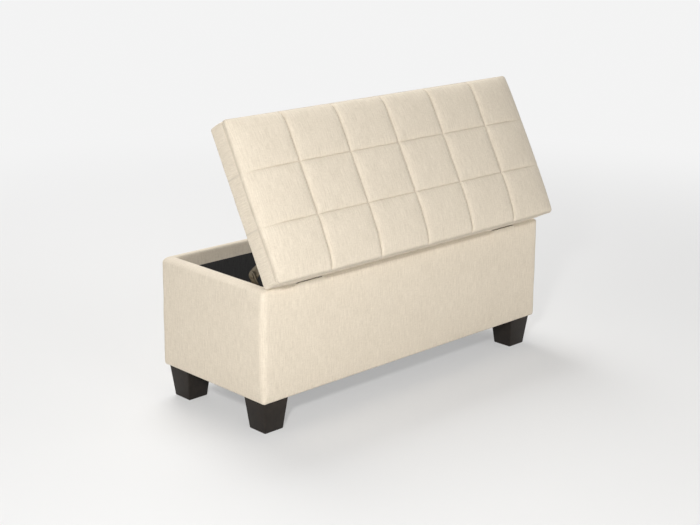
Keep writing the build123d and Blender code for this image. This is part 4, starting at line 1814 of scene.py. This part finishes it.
@dataclass
class UpholsteredBox:
    """The box's soft pieces: padded cover, linings, dust cover and staples."""

    palette: Palette
    corner_radius: float = 12.0 * MM
    inner_radius: float = 3.0 * MM
    rim_width: float = 29.5 * MM
    outer_roll: float = 11.0 * MM
    hinge_roll: float = 5.0 * MM
    inner_roll: float = 7.0 * MM
    base_roll: float = 8.0 * MM
    fullness: float = 3.0 * MM
    bulge: float = 2.5 * MM
    corner_fill: float = 1.6 * MM
    corner_drop: float = 3.5 * MM
    wall_rings: int = 26
    wall_unevenness: float = 0.45 * MM
    wall_noise: SoftNoise = SoftNoise(11, 120 * MM)
    hem_pull: float = 0.35 * MM
    hem_noise: SoftNoise = SoftNoise(12, 26 * MM)
    lip_lead: float = 2.0 * MM
    band_unevenness: float = 0.3 * MM
    band_noise: SoftNoise = SoftNoise(13, 80 * MM)
    crest: float = 3.4 * MM
    leaf_margin: float = 15.0 * MM
    leaf_room: float = 8.0 * MM
    rim_slope: float = 16.0 * MM
    cloth_thickness: float = 1.0 * MM
    lining_slack: float = 1.4 * MM
    lining_noise: SoftNoise = SoftNoise(17, 110 * MM)
    lining_room: float = 0.9 * MM
    lining_tuck: float = 2.0 * MM
    floor_slack: float = 0.8 * MM
    # Out and up, in millimetres, from the wall over the lip in front of a hinge
    lip_profile: tuple[tuple[float, float], ...] = (
        (5.6, -4.0),
        (6.9, -1.2),
        (7.4, 1.2),
        (7.3, 2.9),
        (6.9, 3.7),
        (6.4, 3.3),
        (6.0, 1.6),
        (4.7, -0.25),
        (2.0, -0.15),
    )
    low: np.ndarray = field(init=False)
    high: np.ndarray = field(init=False)
    rim: float = field(init=False)
    hinge_rim: float = field(init=False)
    well_low: np.ndarray = field(init=False)
    well_high: np.ndarray = field(init=False)
    band_bottom: float = field(init=False)
    hem: float = field(init=False)

    def __post_init__(self) -> None:
        """Read the box's sizes from the frame."""
        self.low, self.high = (np.array(corner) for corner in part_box("box_cover"))
        self.rim = self.high[2]
        self.hinge_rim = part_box("left_hinge_box_leaf")[0].z
        self.well_low, self.well_high = (np.array(corner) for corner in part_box("floor_lining"))
        self.band_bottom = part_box("wall_lining")[1].z
        self.hem = self.high[0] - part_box("base_dust_cover")[1].x

    def _hinge_side(self, y: np.ndarray) -> np.ndarray:
        """Whether points of the plan are on the rim of the hinge side."""
        return y < self.well_low[1] + 1 * MM

    @staticmethod
    def _beside_leaf(side: Side, x: np.ndarray) -> np.ndarray:
        """Distance along the rim from a hinge's leaf, negative in front of it."""
        low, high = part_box(f"{side.value}_hinge_box_leaf")
        return np.maximum(low.x - x, x - high.x)

    def _rim_at(self, x: np.ndarray, y: np.ndarray) -> np.ndarray:
        """Level of the rim: lower along the hinge side, for the knuckles.

        Args:
            x: Places along the box.
            y: Places across it.

        Returns:
            The level at each point of the plan.
        """
        drop = soft_step((self.well_high[0] - np.abs(x)) / self.rim_slope)
        return self.rim - (self.rim - self.hinge_rim) * drop * self._hinge_side(y)

    def _crest_at(self, x: np.ndarray, y: np.ndarray) -> np.ndarray:
        """Rise of the rim's inner edge on the hinge side, pressed flat under the hinge leaves.

        Args:
            x: Places along the box.
            y: Places across it.

        Returns:
            The rise at each point of the plan.
        """
        rise = self.crest * (self.rim - self._rim_at(x, y)) / (self.rim - self.hinge_rim)
        for side in Side:
            rise = rise * soft_step((self._beside_leaf(side, x) - self.leaf_room) / self.leaf_margin)
        return rise

    def _lip_at(self, x: np.ndarray, y: np.ndarray) -> np.ndarray:
        """How far the cloth stands up in front of the hinge knuckles.

        Args:
            x: Places along the box.
            y: Places across it.

        Returns:
            From 0, plain rim, to 1, in front of a hinge, at each point of the plan.
        """
        lips = [1 - soft_step(self._beside_leaf(side, x) / self.leaf_margin) for side in Side]
        return np.max(lips, 0) * self._hinge_side(y)

    def _sleeve(self) -> Sleeve:
        """Plan of the cover, with no rings yet.

        Returns:
            The plan.
        """
        outer = Loop(self.high[0], self.high[1], self.corner_radius)
        inner = Loop(self.well_high[0], self.well_high[1], self.inner_radius)
        start, finish, outward = outer.points(), inner.points(), outer.outward()
        x, y = start.T
        hinge_share = np.clip(-outward[:, 1], 0, 1) ** 2
        return Sleeve(
            outer=outer,
            start=start,
            finish=finish,
            outward=outward,
            width=np.minimum(np.linalg.norm(finish - start, axis=1), self.rim_width),
            rim=self._rim_at(x, y),
            crest=self._crest_at(x, y),
            roll=self.outer_roll - (self.outer_roll - self.hinge_roll) * hinge_share,
            corner=4 * (outward[:, 0] * outward[:, 1]) ** 2,
            lip=self._lip_at(x, y),
        )

    def _base(self, sleeve: Sleeve) -> None:
        """Add the hem under the box and the roll at the foot of its walls.

        Args:
            sleeve: The cover.
        """
        low = self.low[2]
        # Inset and rise of the hem's rings
        for inset, rise in ((self.hem + 3 * MM, 1.2 * MM), (self.hem, 0.3 * MM), (self.hem * 0.5, 0.0)):
            sleeve.rings.append(at_level(sleeve.outer.inset(inset).points(), low + rise))
        for angle in np.linspace(-90, 0, 6):
            turn = math.radians(angle)
            out = self.fullness + self.corner_drop * sleeve.corner - self.base_roll * (1 - math.cos(turn))
            sleeve.add(0.0, low + self.base_roll * (1 + math.sin(turn)), out)

    def _walls(self, sleeve: Sleeve) -> None:
        """Add the full walls, a little uneven and drawn in above the hem.

        Args:
            sleeve: The cover.
        """
        corner, around = sleeve.corner, length_along(sleeve.start)
        wall_low, wall_top = self.low[2] + self.base_roll, sleeve.rim - sleeve.roll
        full = self.fullness + self.corner_fill * corner
        pull = self.hem_pull * self.hem_noise.at(around, np.zeros(len(around)))
        for share in np.linspace(0, 1, self.wall_rings)[1:-1]:
            level = wall_low + (wall_top - wall_low) * share
            swell = self.bulge * (4 * share * (1 - share)) ** 0.6
            swell += self.bulge * 0.5 * (1 - share) * share**0.3
            uneven = self.wall_unevenness * self.wall_noise.at(around, level)
            uneven += pull * (1 - share) ** 4
            spread = full + (self.corner_drop - self.corner_fill) * corner * (1 - share)
            relief = swell * (1 - corner) + uneven * math.sin(math.pi * share)
            sleeve.add(0.0, level, spread + relief + self.lip_lead * sleeve.lip * share**12)

    def _rim(self, sleeve: Sleeve) -> None:
        """Add the roll over the rim, or the lip in front of each hinge.

        Args:
            sleeve: The cover.
        """
        rim, crest, roll, lip = sleeve.rim, sleeve.crest, sleeve.roll, sleeve.lip
        full = self.fullness + self.corner_fill * sleeve.corner
        angles = np.radians(np.linspace(0, 90, len(self.lip_profile)))
        for turn, (lip_out, lip_rise) in zip(angles, self.lip_profile):
            rise = 0.9 * crest * math.sin(turn) ** 2 - roll * (1 - math.sin(turn))
            out = full * (1 - math.sin(turn))
            sleeve.add(
                roll * (1 - math.cos(turn)) * (1 - lip),
                rim + rise * (1 - lip) + lip_rise * MM * lip,
                out * (1 - lip) + lip_out * MM * lip,
            )
        for turn in np.radians(np.linspace(90, 180, 7)):
            inset = sleeve.width - self.inner_roll * (1 + math.cos(turn))
            sleeve.add(inset, rim + crest - self.inner_roll * (1 - math.sin(turn)), 0.0)

    def _band(self, sleeve: Sleeve) -> None:
        """Add the band inside the rim and its turned edge.

        Args:
            sleeve: The cover.
        """
        around = length_along(sleeve.start)
        top = sleeve.rim + sleeve.crest - self.inner_roll
        for share in np.linspace(0, 1, 6)[1:]:
            level = top * (1 - share) + self.band_bottom * share
            sleeve.add(sleeve.width, level, self.band_unevenness * self.band_noise.at(around, level))
        sleeve.add(sleeve.width - 1.2 * MM, self.band_bottom - 0.2 * MM, 0.0)

    def cover(self) -> Object:
        """Padded sleeve of the box: hem, walls, rolled rim and the band inside.

        Returns:
            The sleeve.
        """
        sleeve = self._sleeve()
        self._base(sleeve)
        self._walls(sleeve)
        self._rim(sleeve)
        self._band(sleeve)
        piece = skin("box_padded_cover", sleeve.rings)
        thicken(piece, self.cloth_thickness)
        smooth(piece, 60.0)
        dress(piece, self.palette.linen)
        return hand_in(piece, Body.BOX, Slot.FABRIC, "box_cover")

    def wall_lining(self) -> Object:
        """Black cloth on the four inner walls, slack by a little.

        Returns:
            The cloth.
        """
        loop = Loop(self.well_high[0], self.well_high[1], self.inner_radius)
        base, outward = loop.points(), loop.outward()
        around = length_along(base)
        bottom = self.well_low[2]
        rings = []
        for share in np.linspace(0, 1, 24):
            level = bottom + (self.band_bottom + self.lining_tuck - bottom) * share
            slack = self.lining_slack * math.sin(math.pi * share) ** 0.7
            wave = self.lining_noise.at(around, np.full(len(base), level * 0.45))
            out = self.lining_room - slack * (0.5 + 0.5 * np.clip(wave, -1, 1))
            rings.append(at_level(base + outward * out[:, None], level))
        piece = skin("wall_lining_cloth", rings[::-1])
        thicken(piece, LINING_THICKNESS)
        smooth(piece, 60.0)
        dress(piece, self.palette.lining)
        return hand_in(piece, Body.BOX, Slot.LINING, "wall_lining")

    def floor_lining(self) -> Object:
        """Black cloth on the floor of the compartment.

        Returns:
            The cloth.
        """
        low, high = self.well_low, self.well_high
        panel = ClothPanel("floor_lining_cloth", Facing.UP, seed=19, slack=self.floor_slack)
        piece = panel.build(low, high, high[2])
        dress(piece, self.palette.lining)
        return hand_in(piece, Body.BOX, Slot.LINING, "floor_lining")

    def dust_cover(self) -> list[Object]:
        """Dust cloth under the box, stapled over the hem.

        Returns:
            The staples and the cloth.
        """
        low, high = (np.array(corner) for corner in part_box("base_dust_cover"))
        piece = ClothPanel("base_dust_cloth", Facing.DOWN, seed=23).build(low, high, low[2] + 0.4 * MM)
        dress(piece, self.palette.dust_cloth)
        staples = Staple().row("base_staples", low, high, Matrix.Identity(4))
        dress(staples, self.palette.zinc)
        return [
            hand_in(staples, Body.BOX, Slot.ZINC),
            hand_in(piece, Body.BOX, Slot.DUST_CLOTH, "base_dust_cover"),
        ]

    def build(self) -> list[Object]:
        """Make every soft piece of the box."""
        return [self.cover(), self.wall_lining(), self.floor_lining(), *self.dust_cover()]


@dataclass
class Feet:
    """The four tapered feet."""

    palette: Palette
    edge: float = 3.0 * MM

    def foot(self, corner: Corner) -> Object:
        """One foot, tapered to the floor, its edges eased.

        Args:
            corner: Where it stands.

        Returns:
            The foot.
        """
        node = f"{corner.value}_foot"
        points = points_of(node)
        low, high = points.min(0), points.max(0)
        base = points[points[:, 2] < low[2] + 1 * MM]
        taper = (base.max(0) - base.min(0))[0] / (high - low)[0]
        middle = (low + high) / 2
        piece = block(f"{corner.value}_tapered_foot", tuple(middle), tuple(high - low))
        select_faces(piece, lambda face: face.normal.z < -0.5)
        bpy.ops.transform.resize(value=(taper, taper, 1), center_override=(middle[0], middle[1], low[2]))
        bpy.ops.object.mode_set(mode="OBJECT")
        ease_edges(piece, self.edge, 4)
        smooth(piece, 35.0)
        dress(piece, self.palette.foot_paint)
        return hand_in(piece, Body.BOX, Slot.FOOT, node)

    def build(self) -> list[Object]:
        """Make the four feet."""
        return [self.foot(corner) for corner in Corner]


# Fittings


@dataclass
class Fittings:
    """Hinges and stays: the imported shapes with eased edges, and their screws."""

    palette: Palette
    frame: dict
    ease: float = 0.25 * MM
    weld: float = 0.004 * MM
    head_depth: float = 0.2 * MM
    plated: tuple[str, ...] = (
        "hinge_box_leaf",
        "hinge_lid_leaf",
        "hinge_pin",
        "stay_wall_bracket",
        "stay_lid_bracket",
        "stay_lower_arm",
        "stay_upper_arm",
        "stay_elbow_rivet",
    )

    def eased(self, node: str, material: Material) -> Object:
        """Copy of a fitting whose edges are eased.

        Args:
            node: Name of the CAD node that it stands for.
            material: Its finish.

        Returns:
            The copy.
        """
        source = self.frame["nodes"][node]
        piece = bpy.data.objects.new(f"{node}_eased", source.data.copy())
        bpy.context.scene.collection.objects.link(piece)
        activate(piece)
        bpy.ops.object.mode_set(mode="EDIT")
        bpy.ops.mesh.select_all(action="SELECT")
        bpy.ops.mesh.remove_doubles(threshold=self.weld)
        bpy.ops.mesh.dissolve_limited(angle_limit=math.radians(2))
        bpy.ops.object.mode_set(mode="OBJECT")
        ease_edges(piece, self.ease, 2, over=50.0)
        smooth(piece, 40.0)
        dress(piece, material)
        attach(piece, source["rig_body"])
        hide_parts(node)
        return piece

    def screws(self, node: str, body: Body, upward: Vector) -> Object:
        """Pan-head screws in the places of a group of CAD screws.

        Args:
            node: Name of the CAD group.
            body: The body that they ride on.
            upward: Direction that the heads face, for screws on a flat plate.

        Returns:
            The screws as one piece.
        """
        places = []
        for points in loose_parts(self.frame["nodes"][node]):
            middle = points.mean(0)
            normal = upward
            if abs(upward.x) > 0.5:
                normal = Vector((-math.copysign(1, middle[0]), 0, 0))
            depth = points @ np.array(normal)
            top = points[depth > depth.max() - self.head_depth].mean(0)
            turn = normal.to_track_quat("Z", "Y").to_matrix().to_4x4()
            places.append(Matrix.Translation(top - np.array(normal) * PanScrew.head_height) @ turn)
        piece = scattered(f"{node}_pan_heads", PanScrew().model(), places)
        smooth(piece, 30.0)
        dress(piece, self.palette.bronze)
        return hand_in(piece, body, Slot.ZINC, node)

    def build(self) -> list[Object]:
        """Ease every fitting and set its screws.

        Returns:
            The fittings of each side, and then the screws.
        """
        pieces = []
        for side in Side:
            for name in self.plated:
                pieces.append(self.eased(f"{side.value}_{name}", self.palette.bronze))
            pieces.append(self.eased(f"{side.value}_stay_friction_washer", self.palette.nylon))
        lid_up = Vector(LidPlace.from_frame(self.frame).matrix.col[2][:3])
        return pieces + [
            self.screws("box_hinge_screws", Body.BOX, Vector((0, 0, 1))),
            self.screws("lid_hinge_screws", Body.LID, -lid_up),
            self.screws("wall_stay_screws", Body.BOX, Vector((1, 0, 0))),
            self.screws("lid_stay_screws", Body.LID, -lid_up),
        ]


def loose_parts(node: Object) -> list[np.ndarray]:
    """Points of each separate screw in a group.

    Args:
        node: The CAD node of the group, a mesh of loose triangles.

    Returns:
        The points of each screw.
    """
    points = coordinates(node)
    # Corners that share a place to a micrometre count as one
    _, same = np.unique(np.round(points, 6), axis=0, return_inverse=True)
    same = same.ravel()
    edges = same[np.array([edge.vertices[:] for edge in node.data.edges])]
    label = np.arange(same.max() + 1)
    while True:
        lowest = np.minimum(label[edges[:, 0]], label[edges[:, 1]])
        fresh = label.copy()
        np.minimum.at(fresh, edges[:, 0], lowest)
        np.minimum.at(fresh, edges[:, 1], lowest)
        if (fresh == label).all():
            return [points[label[same] == number] for number in np.unique(label)]
        label = fresh


def dress_hidden(frame: dict, palette: Palette) -> None:
    """Finish the CAD nodes that stay as they are, inside the cover.

    Args:
        palette: The materials.
    """
    boards = ("left_end_panel", "right_end_panel", "front_panel", "hinge_side_panel", "bottom_panel")
    for node in (*boards, "corner_blocks", "bottom_battens", "lid_panel"):
        dress(frame["nodes"][node], palette.board)
    for node in ("foot_bolts", "foot_plates"):
        dress(frame["nodes"][node], palette.zinc)


# Studio


@dataclass(frozen=True)
class Lamp:
    """One soft box of the studio."""

    name: str
    spot: Triple
    size: float
    power: float

    def build(self, target: Vector) -> None:
        """Hang the lamp and aim it.

        Args:
            target: Where it is aimed.
        """
        data = bpy.data.lights.new(self.name, "AREA")
        data.shape = "DISK"
        data.size = self.size
        data.energy = self.power
        lamp = bpy.data.objects.new(self.name, data)
        bpy.context.scene.collection.objects.link(lamp)
        lamp.location = self.spot
        lamp.rotation_euler = (target - Vector(self.spot)).to_track_quat("-Z", "Y").to_euler()


@dataclass
class Studio:
    """Pale floor, soft light and the photograph's viewpoint."""

    eye: Triple = (-2.529, -2.583, 1.362)
    right: Triple = (0.7207, -0.6933, 0.0065)
    forward: Triple = (0.6665, 0.6902, -0.2818)
    lens: float = 71.8
    sensor: float = 36.0
    sight: float = 100.0
    floor_size: float = 40.0
    floor_colour: Triple = (0.74, 0.735, 0.725)
    floor_roughness: float = 0.9
    sky: float = 0.14
    sky_colour: Triple = (1.0, 0.99, 0.975)
    backdrop: float = 0.9
    lamp_target: Triple = (0.0, 0.0, 0.35)
    lamps: tuple[Lamp, ...] = (
        Lamp("key_lamp", (-2.25, -1.86, 1.54), 0.25, 52.3),
        Lamp("front_lamp", (-0.5, -3.1, 1.15), 1.3, 21.5),
        Lamp("fill_lamp", (2.2, -2.9, 1.5), 1.4, 14.5),
        Lamp("side_lamp", (-3.2, 0.5, 1.5), 2.2, 15.0),
        Lamp("top_lamp", (0.3, 1.2, 3.0), 1.6, 56.0),
        Lamp("back_lamp", (1.0, 2.8, 2.4), 2.2, 36.0),
    )

    def camera(self) -> None:
        """Set the camera where the photograph was taken."""
        data = bpy.data.cameras.new("camera")
        data.lens = self.lens
        data.sensor_width = self.sensor
        data.clip_end = self.sight
        camera = bpy.data.objects.new("camera", data)
        bpy.context.scene.collection.objects.link(camera)
        back = -Vector(self.forward).normalized()
        upward = back.cross(Vector(self.right)).normalized()
        right = upward.cross(back).normalized()
        turn = Matrix((right, upward, back)).transposed()
        camera.matrix_world = Matrix.Translation(self.eye) @ turn.to_4x4()
        bpy.context.scene.camera = camera

    def floor(self) -> None:
        """Lay the plain pale floor."""
        deselect()
        bpy.ops.mesh.primitive_plane_add(size=self.floor_size)
        floor = named_primitive("studio_floor")
        finish = FloorFinish("studio_floor", self.floor_colour, self.floor_roughness, self.backdrop)
        dress(floor, finish.build())

    def light(self) -> None:
        """Light the bench softly from all round, and keep the backdrop pale."""
        world = bpy.data.worlds.new("studio")
        bpy.context.scene.world = world
        world.use_nodes = True
        sheet = NodeSheet(world.node_tree)
        shown = {"Value": sheet.seen_rays(), "To Min": self.sky, "To Max": self.backdrop}
        strength = sheet.add("ShaderNodeMapRange", shown)
        background = sheet.add("ShaderNodeBackground", {"Strength": strength.outputs[0]})
        background.inputs["Color"].default_value = rgba(self.sky_colour)
        sheet.add("ShaderNodeOutputWorld", {"Surface": background.outputs[0]})
        for lamp in self.lamps:
            lamp.build(Vector(self.lamp_target))

    def build(self) -> None:
        """Set up the camera, the floor and the light."""
        bpy.context.scene.view_settings.view_transform = "Standard"
        self.camera()
        self.floor()
        self.light()


def main() -> None:
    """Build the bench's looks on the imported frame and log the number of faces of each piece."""
    logging.basicConfig(level=logging.INFO, format="%(name)s: %(message)s")
    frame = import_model()
    Studio().build()
    palette = Palette()
    dress_hidden(frame, palette)
    pieces = QuiltedLid(palette, LidPlace.from_frame(frame)).build()
    pieces += UpholsteredBox(palette).build()
    pieces += Feet(palette).build()
    pieces += Fittings(palette, frame).build()
    for piece in pieces:
        log.info("%s: %d faces", piece.name, len(piece.data.polygons))


if __name__ == "__main__":
    main()
